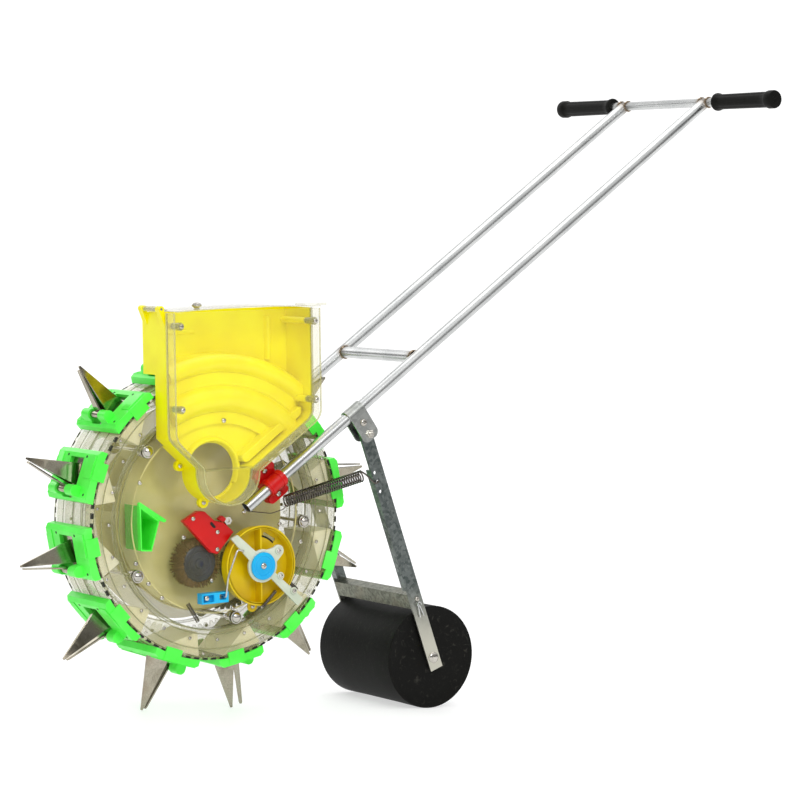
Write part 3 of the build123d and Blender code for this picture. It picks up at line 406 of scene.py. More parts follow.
def paint(red, green, blue):
    """A display colour of 0 to 255 as the linear colour that a shader needs."""
    c = np.array([red, green, blue]) / 255
    linear = np.where(c <= 0.04045, c / 12.92, ((c + 0.055) / 1.055) ** 2.4)
    return (*map(float, linear), 1.0)


# %% [markdown]
# ## Moulded plastic
#
# Injection-moulded parts are one strong colour, yet never quite even: the skin has a fine orange peel, the
# wall sinks a little where it is thick, and dust and handling leave duller patches. Light also travels a
# little way into the coloured plastic, which keeps the shadows inside a part bright, so each has a small
# subsurface share.

# %% Moulded plastic finishes
def moulded(name, colour, deep, roughness=0.3, glow=0.12, scatter_mm=4.0):
    """Coloured plastic: cloudy colour, dull patches, orange peel and faint sink marks."""
    f = Finish(name, Subsurface_Weight=glow, Subsurface_Scale=scatter_mm * MM, Coat_Roughness=0.12, IOR=1.49,
               Specular_IOR_Level=0.3)
    f.shader.inputs["Subsurface Radius"].default_value = (1.0, 1.0, 1.0)
    cloud = f.noise(70, 4)
    dust = f.noise(14, 6).above(0.55, 0.8)
    tone = f.mix(cloud.above(0.35, 0.7), paint(*deep), paint(*colour))
    pale = paint(*[int(v + (235 - v) * 0.35) for v in colour])
    peel = f.noise(1.1, 2)
    sink = f.noise(24, 1)
    f.bumps(peel * 0.12 + sink * 1.4, 0.5, 0.35)
    return f.set(
        Base_Color=f.mix(dust * 0.16, tone, pale),
        Roughness=roughness + cloud * 0.08 + dust * 0.18,
        Coat_Weight=0.1 - dust * 0.08,
    )


green = moulded("green moulded plastic", (98, 255, 92), (76, 240, 68), 0.3, 0.14)
yellow = moulded("yellow moulded plastic", (255, 246, 0), (247, 232, 0), 0.34, 0.08)
# Painted shade: the box's yellow plastic darkened for the shade that falls on the metering housing.
shaded_yellow = moulded("yellow plastic with painted shade", (228, 200, 0), (212, 180, 0), 0.32, 0.08)
red = moulded("red moulded plastic", (206, 12, 10), (184, 6, 6), 0.28, 0.08)
blue = moulded("light blue moulded plastic", (24, 184, 238), (12, 166, 226), 0.3, 0.1)
white = moulded("milky white plastic", (218, 224, 208), (192, 202, 182), 0.32, 0.4, 7.0)
cream = moulded("cream plastic", (255, 250, 226), (248, 240, 204), 0.42, 0.25, 6.0)
hub_grey = moulded("blue grey plastic", (40, 48, 72), (20, 25, 42), 0.3, 0.02)
gear_black = moulded("dark gear plastic", (52, 54, 60), (34, 36, 42), 0.45, 0.02)

# %% [markdown]
# ## See-through plastic
#
# The rings, the side plates and the box's cover are clear or smoke-tinted plastic. Seen square on, most of
# the light passes; seen along the surface, the plastic turns into a bright, almost solid edge. Making the
# alpha follow the facing angle gives that edge without the cost and the dark shadows of refraction, and
# the alpha is a little cloudy, as regrind plastic is, with scuffs that stay visible.

# %% See-through finishes
def see_through(name, colour, edge, veil, edge_veil, roughness=0.1, scuffs=0.25, walls=1.0):
    """Clear plastic: alpha = veil face on, rising to edge_veil at grazing angles, plus cloud and scuffs.

    Walls that stand square to the side plates let more through: their alpha is multiplied by walls.
    """
    f = Finish(name, IOR=1.52, Coat_Roughness=0.04, Coat_Weight=0.5)
    grazing = f.node("ShaderNodeLayerWeight", None, {"Blend": 0.42}, "Facing")
    cloud = f.noise(45, 4)
    scratch = f.noise(2.2, 5, f.stretched((1.0, 1.0, 7.0)), 1.5).above(0.62, 0.76)
    rim = grazing ** 2.2
    f.bumps(f.noise(60, 2) + scratch * 0.06, 0.9, 0.15)
    surface_way = f.node("ShaderNodeTexCoord", output="Normal")
    across = f.node("ShaderNodeSeparateXYZ", None, {0: surface_way}, "Y") ** 2
    alpha = veil + rim * (edge_veil - veil) + (cloud - 0.5) * veil * 0.5 + scratch * scuffs * 0.3
    return f.set(
        Base_Color=f.mix(rim, paint(*colour), paint(*edge)),
        Alpha=alpha * (walls + across * (1 - walls)),
        Roughness=roughness + scratch * 0.3 + cloud * 0.06,
    )


khaki_clear = see_through("smoky side plate", (206, 198, 116), (104, 98, 40), 0.03, 0.8)
khaki_back = see_through("smoky far plate", (222, 213, 150), (130, 122, 62), 0.5, 0.92)
khaki_solid = see_through("smoky chamber", (220, 210, 142), (140, 130, 66), 0.92, 0.98, 0.26, walls=0.1)
ring_clear = see_through("clear ring", (206, 202, 140), (96, 98, 44), 0.13, 0.9, 0.08, 0.03)
bead_clear = see_through("moulded edge", (150, 150, 96), (70, 72, 36), 0.5, 0.95)
cover_clear = see_through("clear cover", (240, 238, 190), (120, 118, 60), 0.03, 0.9, 0.06)
lid_clear = see_through("clear lid", (222, 218, 160), (104, 100, 44), 0.14, 0.95, 0.08)
cover_edge = see_through("clear cover edge", (206, 202, 136), (112, 108, 48), 0.4, 0.95, 0.08)

# %% [markdown]
# ## Metals
#
# The tubes are bright zinc over drawn steel, browned at the welds. The arms are hot-dip galvanised, with
# the patchwork of crystals called spangle. The beaks are folded from polished sheet that has picked up a
# brown tarnish, and the screws are small and bright.

# %% Metal finishes
def metal(name, light, dark, roughness, spangle=None, tarnish=0.0, patch=26.0, marks=(), bright_below=None):
    """Metal: fine lines, crystals of spangle millimetres, patches of tarnish, and marks at given points."""
    f = Finish(name, Metallic=1.0)
    lines = f.noise(1.8, 3)
    patches = f.noise(patch, 5)
    shade = patches * 0.75 + lines * 0.25
    if spangle:
        shade = f.cells(spangle) * 0.3 + shade * 0.7
    tone = f.mix(shade.above(0.2, 0.8), paint(*dark), paint(*light))
    if bright_below:
        tone = f.mix(f.height(*bright_below), paint(206, 204, 190), tone)
    stain = patches.above(0.46, 0.72) * tarnish
    for point, reach in marks:
        stain = stain + f.near(point, reach) * (0.35 + lines * 0.5)
    f.bumps(lines * 0.04 + f.noise(9, 3) * 0.3, 0.06, 0.2)
    return f.set(
        Base_Color=f.mix(stain, tone, paint(108, 84, 54)),
        Roughness=roughness + (1 - shade) * 0.1 + stain * 0.15,
    )


top_bar_low, top_bar_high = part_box("near_grip")
top_bar_x = (top_bar_low.x + top_bar_high.x) / 2
top_bar_z = (top_bar_low.z + top_bar_high.z) / 2
weld_points = [((top_bar_x, y, top_bar_z), 26) for y in (-0.113, 0.113)]
mid_bar = placed([(40.8 + 410 * cos(radians(33.9)), 0, 14.7 + 410 * sin(radians(33.9)))], LEAN)[0]
weld_points += [((mid_bar[0], y, mid_bar[2]), 20) for y in (-0.104, 0.104)]
zinc = metal("bright zinc", (216, 217, 216), (184, 186, 186), 0.22, patch=60, marks=weld_points)
screw_steel = metal("screw steel", (226, 222, 212), (160, 156, 150), 0.12)
galvanised = metal(
    "galvanised sheet", (128, 134, 132), (74, 82, 80), 0.32, spangle=5.0, patch=22, bright_below=(0.1, 0.22)
)
strap_zinc = metal("strap zinc", (186, 188, 184), (150, 153, 150), 0.28, spangle=6.0)
bar_dark = metal("dark galvanised bar", (136, 138, 124), (84, 86, 74), 0.3, spangle=4.0, tarnish=0.2)
beak_steel = metal("beak steel", (206, 202, 186), (104, 96, 74), 0.08, tarnish=0.55, patch=40)
spring_steel = metal("spring steel", (124, 118, 110), (58, 54, 50), 0.18)

# %% [markdown]
# ## Rubber and bristle
#
# The press wheel is thick black rubber, satin rather than matt, with grey drag marks from soil. The grips
# are the same black with a fine pebble. Bristles are stiff brown fibre, each a slightly different tone.

# %% Rubber and bristle finishes
def rubber(name, pebble_mm, scuff, roughness):
    """Black rubber with a pebble and grey scuffs drawn out round the wheel."""
    f = Finish(name, IOR=1.5, Specular_IOR_Level=0.1)
    cloud = f.noise(60, 5)
    drag = f.noise(7, 6, f.stretched((0.5, 2.2, 0.5)), 2.0).above(0.56, 0.78)
    dust = f.noise(2.4, 6).above(0.6, 0.8)
    tone = f.mix(cloud, paint(9, 9, 8), paint(20, 20, 18))
    f.bumps(f.noise(pebble_mm, 3) + f.noise(18, 2) * 1.5, 0.35, 0.3)
    return f.set(
        Base_Color=f.mix((drag * 0.6 + dust * 0.4) * scuff, tone, paint(104, 102, 94)),
        Roughness=roughness + drag * 0.16 + cloud * 0.1,
    )


wheel_rubber = rubber("press wheel rubber", 1.6, 0.34, 0.5)
grip_rubber = rubber("grip rubber", 0.9, 0.12, 0.42)

bristle = Finish("brown bristle", Roughness=0.6)
bristle_tone = bristle.noise(1.5, 2)
bristle_brown = bristle.set(
    Base_Color=bristle.mix(bristle_tone.above(0.3, 0.7), paint(52, 36, 20), paint(150, 116, 74)),
    Roughness=0.5 + bristle_tone * 0.3,
)
void = Finish("deep shadow", Roughness=0.8)
void_dark = void.set(Base_Color=void.mix(void.noise(5), paint(14, 16, 12), paint(30, 32, 26)))

# %% [markdown]
# ## The wheel's clear rings
#
# The near ring is one turned section: a thin outer band, a flat face with moulded ridges, and an inner lip
# that the guide rollers run on. A lathe profile gives all its highlights in one go. The far ring keeps the
# engineering shape, because its gear teeth are seen from behind.

# %% Near ring, far ring and rim slots
DRUM_MID = -28.0
RING_FACE = -88.2
RIM_RADIUS = 229.4
BEAKS = [15 + 30 * n for n in range(12)]
near_ring_profile = [
    (180, -68), (182.6, -68), (183, -69), (183, -85), (226.6, -85), (227, -84), (227, -28.3),
    (229.7, -28.3), (230, -29), (230, -89.3), (229.4, -90), (226, -90), (225.2, -88.6), (214.5, -88.6),
    (213.8, -90.2), (211.4, -90.2), (210.6, RING_FACE), (190.5, RING_FACE), (189.8, -89.8), (187.6, -89.8),
    (187, -88.4), (184.6, -88.4), (183.6, -90), (180.6, -90), (180, -89.3),
]
make(
    "near_ring_look", spun(near_ring_profile, steps=192), ring_clear, "drum",
    nodes=("ring_near",), lean=0, sharp=25,
)
softened("ring_far", 0.5, ring_clear, "drum", name="far_ring_look")

dash_angles = np.arange(0, 360, 4.0)
near_dash = prism([(226.8, -4.6), (229.9, -4.6), (229.9, 4.6), (226.8, 4.6)], -90.35, -88.8)
dash_outline = [(RIM_RADIUS, -4.6), (230.3, -4.6), (230.3, 4.6), (RIM_RADIUS, 4.6)]
side_dash, far_dash = prism(dash_outline, RING_FACE, -85.8), prism(dash_outline, 29, 31.4)
make(
    "rim_slots", ring_of(stack(near_dash, side_dash, far_dash), dash_angles), void_dark, body="drum",
    lean=0,
)


def hoop(radius, y, thickness, sides=10):
    """A thin ring round the wheel's axis: a small circle spun."""
    loop = circle(thickness, sides)
    return spun([(radius + a, y + b) for a, b in loop], steps=160)


hoop_places = [
    (181.6, -90, 0.9), (188.7, -90, 0.8), (212.6, -90.3, 0.9), (225.6, -89.6, 0.8), (181.6, -68.6, 0.9),
    (230, -60, 0.7), (230, -28, 1.0), (230, 4, 0.7), (181.6, 33.4, 0.9), (229.2, 33.4, 0.8),
]
hoops = [hoop(*place) for place in hoop_places]
make("ring_edges", stack(*hoops), bead_clear, "drum", lean=0)

bridge = prism(rounded([(188, -7), (210.5, -10), (210.5, 10), (188, 7)], 3), -89.2, -87.9)
make(
    "ring_bridges", ring_of(bridge, [30 * n for n in range(12)]), ring_clear, "drum",
    lean=0, bevel=0.3,
)


def screw(x, z, y, radius, height, toward=-1):
    """A pan-head screw: a low dome with a dimple for its driver, its head towards y = toward."""
    profile = [
        (0, 0.5), (0.24, 0.55), (0.34, 1.0), (0.6, 0.97), (0.85, 0.75), (0.98, 0.4), (1.0, 0.0), (0, 0.0),
    ]
    return spun([(r * radius, y + toward * h * height) for r, h in profile], (x, z), 20)


ring_screws = [screw(*polar(198, 15 * n + 4), -88.2, 2.9, 2.0) for n in range(24)]
ring_screws += [screw(*polar(220, 30 * n + 27), -88.6, 2.6, 1.8) for n in range(12)]
ring_screws += [screw(*polar(200, 15 * n + 4), 32, 2.9, 2.0, 1) for n in range(24)]
make("ring_screws", stack(*ring_screws), screw_steel, "drum", lean=0)

# %% [markdown]
# ## Seed cups
#
# Each beak is fed from a cream wedge-shaped cup inside the ring. In the engineering model a cup is a bent
# strip; the real one is closed at its sides too, and those flat cream faces are what shows through the
# ring. The cup is built as an outer wedge and an inner wedge, joined round its open mouth.

# %% Cups
def wedge(inset, y_near, y_far):
    """The three corners of a cup's section, drawn in by inset, at the two ends of the cup."""
    outline = [(224.0 - inset * 0.2, -30 + inset), (184.8 + inset, 26.0), (221.5 - inset * 0.2, 42 - inset)]
    return prism(rounded(outline, 3.0, 4), y_near, y_far)


cup = stack(
    wedge(0, -84.6, -82.6),
    wedge(0, -1.0, 0.0),
    prism([(224, -30), (184.8, 26), (187, 27), (225, -26.5)], -83, -0.5),
    prism([(184.8, 26), (221.5, 42), (222, 39.5), (186.5, 24.2)], -83, -0.5),
)
make(
    "cups_look", ring_of(cup, BEAKS), cream, "drum", nodes=("seed_cups",), lean=0,
    bevel=0.5,
)

# %% [markdown]
# ## Beak seats, beaks and jaws
#
# The seats are chunky green mouldings, so their edges are generously rounded. The beaks are folded from
# sheet, with crisp edges that catch light. Small holes and a raised pad finish each seat.

# %% Seats, beaks and jaws
softened("beak_seats", 1.3, green, "drum", name="seats_look")
pad_outline = rounded([(241.4, -34), (243.6, -34), (243.6, 4), (241.4, 4)], 0.6, 3)
pad = prism(pad_outline, DRUM_MID - 60, DRUM_MID - 38)
strap_outline = rounded([(241.4, -34), (243.4, -34), (243.4, 34), (241.4, 34)], 0.6, 3)
strap = prism(strap_outline, DRUM_MID + 44, DRUM_MID + 58)
make("seat_pads", ring_of(stack(pad, strap), BEAKS), green, "drum", lean=0, bevel=0.7)


def upright(x_low, x_high, tangent_at, y, radius, steps=16):
    """A small round peg standing on the rim: its axis is radial, at (tangent_at, y) from the beak's line."""
    ring = circle(radius, steps)
    across, up = y + ring[:, 0], tangent_at + ring[:, 1]
    ends = [np.column_stack([np.full(steps, x), across, up]) for x in (x_low, x_high)]
    faces = quads(2, steps, False, True) + [list(range(steps)), list(range(2 * steps - 1, steps - 1, -1))]
    return np.vstack(ends), faces


dimple_places = [(-30, -30), (-30, 30), (31, -52), (31, 52)]
dimples = [upright(240, 242.25, tangent_at, DRUM_MID + y, 2.1) for tangent_at, y in dimple_places]
make("seat_holes", ring_of(stack(*dimples), BEAKS), void_dark, "drum", lean=0)

softened("fixed_beaks", 0.35, beak_steel, "drum", name="beaks_look", sharp=30)
for number in range(1, 13):
    softened(
        f"jaw_{number:02d}", 0.3, beak_steel, f"jaw_body_{number:02d}",
        name=f"jaw_{number:02d}_look", sharp=30,
    )

# %% [markdown]
# ## The still core
#
# Two smoky side plates close a round chamber, the far one less clear than the near one. Five studs carry
# the guide rollers and show as bright domed caps. The plates are copies of the engineering plates with
# eased edges; the caps are turned.

# %% Plates, chamber, caps and rollers
softened("near_plate", 0.7, khaki_clear, name="near_plate_look")
softened("far_plate", 0.7, khaki_back, name="far_plate_look")
softened("seed_tub", 1.0, khaki_solid, name="chamber_look")
softened("far_housing", 2.5, khaki_solid, name="far_housing_look")

PLATE_FACE = -87.0
GUIDES = [polar(169, 65.5 + 72 * n) for n in range(5)]
cap_profile = [
    (0, -93.4), (2.2, -93.3), (3.4, -92.7), (4.6, -92.2), (6.6, -91.2), (8.0, -89.8), (8.5, -88.6),
    (9.0, -88.4), (10.2, -88.5), (10.5, -87.9), (10.5, -87.05), (0, -87.05),
]
nut_profile = [(3.0, 31.1), (5.6, 31.1), (5.6, 34.2), (5.0, 34.9), (3.0, 34.9)]
studs = [spun(cap_profile, place, 40) for place in GUIDES]
studs += [spun(nut_profile, place, 6) for place in GUIDES]
studs += [rod(place, 2.98, -87.1, 34.9) for place in GUIDES]
make("stud_caps", stack(*studs), screw_steel, nodes=("guide_studs",), bevel=0.2)
for number, place in enumerate(GUIDES, 1):
    rollers = []
    for y_low, y_high in ((-82, -71), (20, 27)):
        tread = [(9.6, y_low), (10.6, y_low + 1), (10.6, y_high - 1), (9.6, y_high)]
        rollers.append(spun([(3.1, y_low), *tread, (3.1, y_high)], place, 36))
    make(
        f"guide_{number}_look", stack(*rollers), screw_steel, f"guide_{number}",
        nodes=(f"guide_roller_{number}",),
    )
for node in ("tie_posts", "lid_pin"):
    dressed(node, zinc)
dressed("metering_wheel", gear_black)

# %% [markdown]
# ## Chute, shield and latch
#
# Small bright mouldings on the near plate. Their engineering shapes are right, so each gets eased edges,
# with the holes, ribs and screws that make them look used.

# %% Small mouldings
softened("seed_chute", 1.0, green, name="chute_look")
softened("brush_shield", 1.6, red, name="shield_look")
slot_outline = rounded([(-19, -8), (-14, -14), (-9, -16), (-8, -13), (-14, -6), (-17, -4)], 2)
shield_slot = prism(slot_outline, -98.25, -96)
make("shield_slot", shield_slot, void_dark)
shield_tab = prism(rounded([(-2, -2), (8, -8), (14, -3), (6, 4)], 2.5), -96, -88)
make("shield_tab", shield_tab, red, bevel=1.2)

softened("latch", 0.8, blue, "latch", name="latch_look")
make("latch_screw", screw(-30, -127, -102.6, 4.2, 2.2), screw_steel)

# %% [markdown]
# ## Metering housing and rate lever
#
# The yellow cup covers the metering wheel. A milky lever turns on its hub under a light blue cap, and its
# end is held by two short springs. The springs and the wire link are wound and bent from real wire paths.

# %% Housing, lever, cap, link and springs
METER = side_view(joint_at["metering_spin"])[[0, 2]]
# The housing and its lip use the darkened yellow, which is painted shade rather than a different plastic.
softened("metering_housing", 0.9, shaded_yellow, name="housing_look")
arc_slot = spun([(46, -89.7), (49, -89.7), (49, -89.2), (46, -89.2)], METER, 24, (44, 82))
make("housing_slot", arc_slot, void_dark)
housing_lip = spun([(63, -106), (65, -106), (65.6, -107), (65, -108), (60.5, -108), (60.5, -107)], METER, 96)
make("housing_lip", housing_lip, shaded_yellow, bevel=0.4)

softened("rate_lever", 1.3, white, "lever", name="lever_look")
LEVER_FACE = -112.5
boss_places = [METER + (30, 22), METER + (33, -19), METER + (58, -46)]
BOSS_FACE = LEVER_FACE - 2.2
boss_profile = [(0, LEVER_FACE), (6.5, LEVER_FACE), (6, BOSS_FACE), (0, BOSS_FACE)]
bosses = [spun(boss_profile, place, 28) for place in boss_places]
make("lever_bosses", stack(*bosses), white, "lever", bevel=0.7)
heads = [screw(*place, BOSS_FACE, 3.8, 2.4) for place in boss_places]
make("lever_screws", stack(*heads), screw_steel, "lever")
cap_profile = [
    (0, -114.6), (15.5, -114.6), (16.5, -116), (21.2, -116), (22.2, -115.6), (22.5, -114.8),
    (22.5, LEVER_FACE - 0.1), (0, LEVER_FACE - 0.1),
]
make(
    "cap_look", spun(cap_profile, METER, 72), blue, "lever", nodes=("lever_cap",),
    bevel=0.3,
)
make("cap_screw", screw(*METER, -114.6, 5.4, 3.0), screw_steel, "lever")


def coil(start, end, radius, wire, turns, points=20):
    """A wound spring: radius (cos, sin) of the turning angle, drawn out evenly from start to end."""
    start, end = np.asarray(start, float), np.asarray(end, float)
    axis = (end - start) / np.linalg.norm(end - start)
    side = np.cross(axis, (0, 1, 0))
    side /= np.linalg.norm(side)
    other = np.cross(axis, side)
    t = np.linspace(0, 1, int(turns * points) + 1)[:, None]
    turn = 2 * pi * turns * t
    path = start + (end - start) * t + radius * (np.cos(turn) * side + np.sin(turn) * other)
    return carried(path, circle(wire, 7), axis)


def wire(corners, radius, bend=4.0, flat=(0, 1, 0), sides=12):
    """A bent wire: straight runs with rounded corners."""
    return carried(rounded(corners, bend, 7, closed=False), circle(radius, sides), flat)


make(
    "lever_spring", coil((94, -113, -125), (68, -113, -149), 2.7, 0.5, 22), spring_steel,
    nodes=("small_springs",),
)
make("lever_spring_2", coil((130, -96, -114), (146, -96, -129), 2.7, 0.5, 16), spring_steel)
make("latch_spring", coil((-60, -93, -134), (-41, -93, -165), 2.9, 0.5, 20), spring_steel)
link_top = METER + (-37, 27)
link_path = [
    (link_top[0], -108.4, link_top[1]), (link_top[0], -114.5, link_top[1]),
    (link_top[0] - 12, -114.8, link_top[1] + 4), (4, -114, -94), (0, -113, -127), (0, -97.5, -127),
]
make("link_look", wire(link_path, 1.5, 5.0, (0.5, 0.2, 0.1)), zinc, "link", nodes=("link_wire",))

plate_screw_places = [(-104, -121), (-150, -62), (12, -160), (160, -52), (120, -20), (-140, 66), (84, -152)]
more_screws = [(-11, -101), (-62, -27), (52, 6), (-128, -96), (28, -150)]
heads = [screw(x, z, PLATE_FACE, 3.9, 2.8) for x, z in plate_screw_places + more_screws]
heads += [screw(64, -150, -89.5, 3.9, 2.6)]
heads += [screw(x, z, -98, 3.8, 2.6) for x, z in ((-50, 3), (-5, -22), (-6, -50))]
heads += [rod((-30, -127), 2.4, PLATE_FACE, -102.6, 16)]
make("plate_screws_look", stack(*heads), screw_steel, nodes=("plate_screws",))
nut_corners = [(0, -91.5), (2.6, -91.5), (2.9, -93), (7.2, -93), (7.8, -92.4)]
hex_nut = spun([*nut_corners, (7.8, PLATE_FACE), (0, PLATE_FACE)], (19, -6), 6)
make("plate_nut", hex_nut, screw_steel, bevel=0.3)

# %% [markdown]
# ## The brush
#
# A round brush wipes spare seed off the metering wheel. Its hub is turned; its bristles are fifteen hundred
# thin tufts, each a four-sided spike leaning a little its own way, so that the edge looks frayed.

# %% Brush
BRUSH = side_view(joint_at["brush_spin"])[[0, 2]]
draw = np.random.default_rng(7)
hub_profile = [
    (0, -81.5), (7, -81.5), (8, -80.5), (8.5, -79), (19, -79), (20.5, -80.6), (27.5, -80.8),
    (29.5, -79.6), (29.8, -78), (29.8, -50), (4, -50), (4, 16), (0, 16),
]
make(
    "brush_hub", spun(hub_profile, BRUSH, 64), hub_grey, "brush_wheel", nodes=("brush",),
    bevel=0.3,
)
gear_profile = [(4, 9), (48, 9), (48, 16), (4, 16)]
make("brush_gear", spun(gear_profile, BRUSH, 58), gear_black, "brush_wheel", bevel=0.4)
tuft_count = 1500
around = draw.uniform(0, 2 * pi, tuft_count)
depth = draw.uniform(-79.5, -51, tuft_count)
reach = draw.uniform(38.5, 41.5, tuft_count)
sway = draw.normal(0, 0.05, (tuft_count, 2))
corner = np.arange(4) * pi / 2
root_width = 0.9
foot = np.stack([
    29 * np.cos(around[:, None] + root_width / 29 * np.cos(corner)),
    depth[:, None] + root_width * np.sin(corner),
    29 * np.sin(around[:, None] + root_width / 29 * np.cos(corner)),
], -1)
tip = np.stack([
    reach * np.cos(around + sway[:, 0]), depth + sway[:, 1] * 40, reach * np.sin(around + sway[:, 0])
], -1)[:, None] + (foot - foot.mean(1, keepdims=True)) * 0.35
tufts = np.concatenate([foot, tip], 1) + (BRUSH[0], 0, BRUSH[1])
base = np.arange(tuft_count)[:, None] * 8
sides = [base + np.array([k, (k + 1) % 4, 4 + (k + 1) % 4, 4 + k]) for k in range(4)]
tuft_faces = np.vstack(sides + [base + np.array([4, 5, 6, 7]), base + np.array([3, 2, 1, 0])]).tolist()
make("brush_bristles", (tufts.reshape(-1, 3), tuft_faces), bristle_brown, "brush_wheel")

# %% [markdown]
# ## Seed box
#
# A yellow box, deep at the top and shallow where it passes the wheel, with a round bowl at its foot that
# opens into the chamber. Moulded ridges follow the wheel's curve across its back wall. They are separate
# shapes of the same plastic, each a soft section carried along an arc.

# %% Box body and its moulded ridges
BOX_TOP = 335.0
BOWL = np.array([-12.0, 78.0])
softened("seed_box", 1.8, yellow, name="box_look")


def arc_path(centre, radius, start, stop, y, steps=48):
    """Points along an arc in the side view."""
    a = np.radians(np.linspace(start, stop, steps))
    x, z = centre[0] + radius * np.cos(a), centre[1] + radius * np.sin(a)
    return np.column_stack([x, np.full(steps, y), z])


def hump(width, height, sides=14):
    """A soft ridge in section: height (1 - |s|^2.6) across its width, closed underneath."""
    s = np.linspace(-1, 1, sides)
    top = np.column_stack([s * width / 2, height * (1 - np.abs(s) ** 2.6)])
    return np.vstack([top, [(width / 2, -2), (-width / 2, -2)]])


def wall_ridge(path, width, height):
    """A ridge standing off the back wall towards the near side."""
    return carried(path, hump(width, height), (0, -1, 0))


back_wall, pad_wall = -98.0, -90.5
ridges = [
    wall_ridge(arc_path((0, 0), 193, 47, 118, back_wall), 44, 19),
    wall_ridge(arc_path((0, 0), 250, 50, 112, back_wall), 30, 13),
    wall_ridge(arc_path(BOWL, 49.5, -28, 172, pad_wall, 64), 10, 9),
]
make("box_ridges", stack(*ridges), yellow, sharp=50)
ledge = prism(rounded([(31, 98), (112, 152), (150, 176), (150, 160), (108, 132), (42, 86)], 9), -114, -90)
make("box_ledge", ledge, yellow, bevel=3.5)
rails = [wall_ridge(np.array([(118, -61, z) for z in (250, 285, 320)]), 12, 8),
         wall_ridge(np.array([(x, -61, 300) for x in (-96, -60, -20)]), 8, 3)]
make("box_rails", stack(*rails), yellow, sharp=50)
wall_screws = [screw(69, 182, -109, 4.0, 2.4), screw(10, 157, -98.5, 4.4, 3.0)]
make("box_screws", stack(*wall_screws), screw_steel)
feet = [screw(-70, 89, -95, 4.0, 2.4), screw(-28, 27, -95, 4.0, 2.4)]
make("foot_screws", stack(*feet), screw_steel)

# %% [markdown]
# ## Clear cover and lid
#
# The front cover is a shallow clear tray on four screw posts. What the eye sees of it is mostly its rim, so
# the rim gets a bead along the whole outline. The lid is a thin sheet that has bowed a little in the sun;
# it is a grid whose height is a sine along its length.

# %% Cover, rim bead, posts, lid and knob
softened("box_cover", 1.6, cover_clear, name="cover_look")
slope = radians(33.9)
slope_end = (150.0, BOWL[1] + (150 - BOWL[0] - 51) * np.tan(slope))
bowl_arc = arc_path(BOWL, 51, -180, 0, 0, 32)[:, [0, 2]]
outline = np.vstack([
    bowl_arc, rounded([bowl_arc[-1], slope_end, (158, slope_end[1] + 12), (158, BOX_TOP)], 16, 6, False)[1:],
])
left_side = rounded([(-113, BOX_TOP), (-113, 135), (-63, 88), (-63, 78)], 14, 6, False)
rim = np.vstack([left_side, outline])
beads = [carried(np.column_stack([rim[:, 0], np.full(len(rim), y), rim[:, 1]]), circle(r, 8), (0, 1, 0))
         for y, r in ((-134.6, 1.9), (-158.6, 1.5))]
make("cover_beads", stack(*beads), cover_edge)
posts = [(-101, 314), (-101, 183), (149, 314), (149, 187)]
collars = [spun([(2.2, -157), (6.4, -157), (5.6, -136), (2.2, -136)], place, 32) for place in posts]
make("cover_posts", stack(*collars), cover_edge)
screws = [screw(*place, -160, 4.0, 2.2) for place in posts]
screws += [spun([(0, -160.2), (1.9, -160.2), (1.9, -98.2), (0, -98.2)], place, 14) for place in posts]
make("cover_screws_look", stack(*screws), screw_steel, nodes=("cover_screws",))

LID_LONG = (-110.0, 160.0)
LID_WIDE = (-162.0, -56.0)
LID_ROWS, LID_COLUMNS = 40, 14
lid_x = np.linspace(*LID_LONG, LID_ROWS)
lid_y = np.linspace(*LID_WIDE, LID_COLUMNS)
across, length = np.meshgrid(lid_y, lid_x)
part_way = (length - LID_LONG[0]) / (LID_LONG[1] - LID_LONG[0])
bow = 5.5 * np.sin(pi * part_way) ** 1.3 * (0.65 + 0.35 * np.cos((across + 109) / 53 * pi / 2))
lid_low = np.stack([length, across, 336.8 + bow], -1)
lid_high = lid_low + (0, 0, 1.8)
lid_points = np.vstack([lid_low.reshape(-1, 3), lid_high.reshape(-1, 3)])
sheet_faces = quads(LID_ROWS, LID_COLUMNS, False, False)
number = np.arange(LID_ROWS * LID_COLUMNS).reshape(LID_ROWS, LID_COLUMNS)
edge = np.concatenate([number[0], number[1:, -1], number[-1, -2::-1], number[-2:0:-1, 0]])
top = number.size
edge_faces = np.stack([edge, np.roll(edge, -1), np.roll(edge, -1) + top, edge + top], -1).tolist()
top_faces = [[corner + top for corner in face] for face in sheet_faces]
lid_sheet = (lid_points, sheet_faces + top_faces + edge_faces)
barrel = spun([(2.1, -114), (4.4, -114), (4.4, -76), (2.1, -76)], (-118, 341), 32)
flap_outline = rounded([(-118, 345.4), (-108, 341), (-96, 338.8), (-96, 336.9), (-114, 336.9)], 2)
lid_flap = prism(flap_outline, -114, -76)
lid_tab = prism(rounded([(136, 338.4), (178, 338.4), (178, 342.4), (136, 342.4)], 1.2, 4), -150, -120)
make(
    "lid_look", stack(lid_sheet, barrel, lid_flap, lid_tab), lid_clear, "lid",
    nodes=("box_lid",),
)
knob_profile = [(0, 9.5), (4.2, 9.2), (7.2, 7.6), (8.3, 5.4), (7.6, 3.2), (5.0, 1.8), (4.0, 0), (0, 0)]
knob_turn = np.linspace(0, 2 * pi, 32, endpoint=False)[:, None]
knob_loop = np.array(knob_profile)
knob_bow = 336.8 + 1.8 + 5.5 * sin(pi * 49 / 270) ** 1.3 * 0.95
knob_grid = np.stack([
    -61 + knob_loop[:, 0] * np.cos(knob_turn), -140 + knob_loop[:, 0] * np.sin(knob_turn),
    np.broadcast_to(knob_bow + knob_loop[:, 1], (32, len(knob_loop))),
], -1)
make(
    "lid_knob", (knob_grid.reshape(-1, 3), quads(32, len(knob_loop), True, True)), screw_steel,
    "lid",
)

# %% [markdown]
# ## Handle
#
# Two zinc tubes, a short cross bar and a long one with a rubber grip at each end. A tube is a turned ring
# carried along a straight line. Its end is open, so it has an inside wall too.

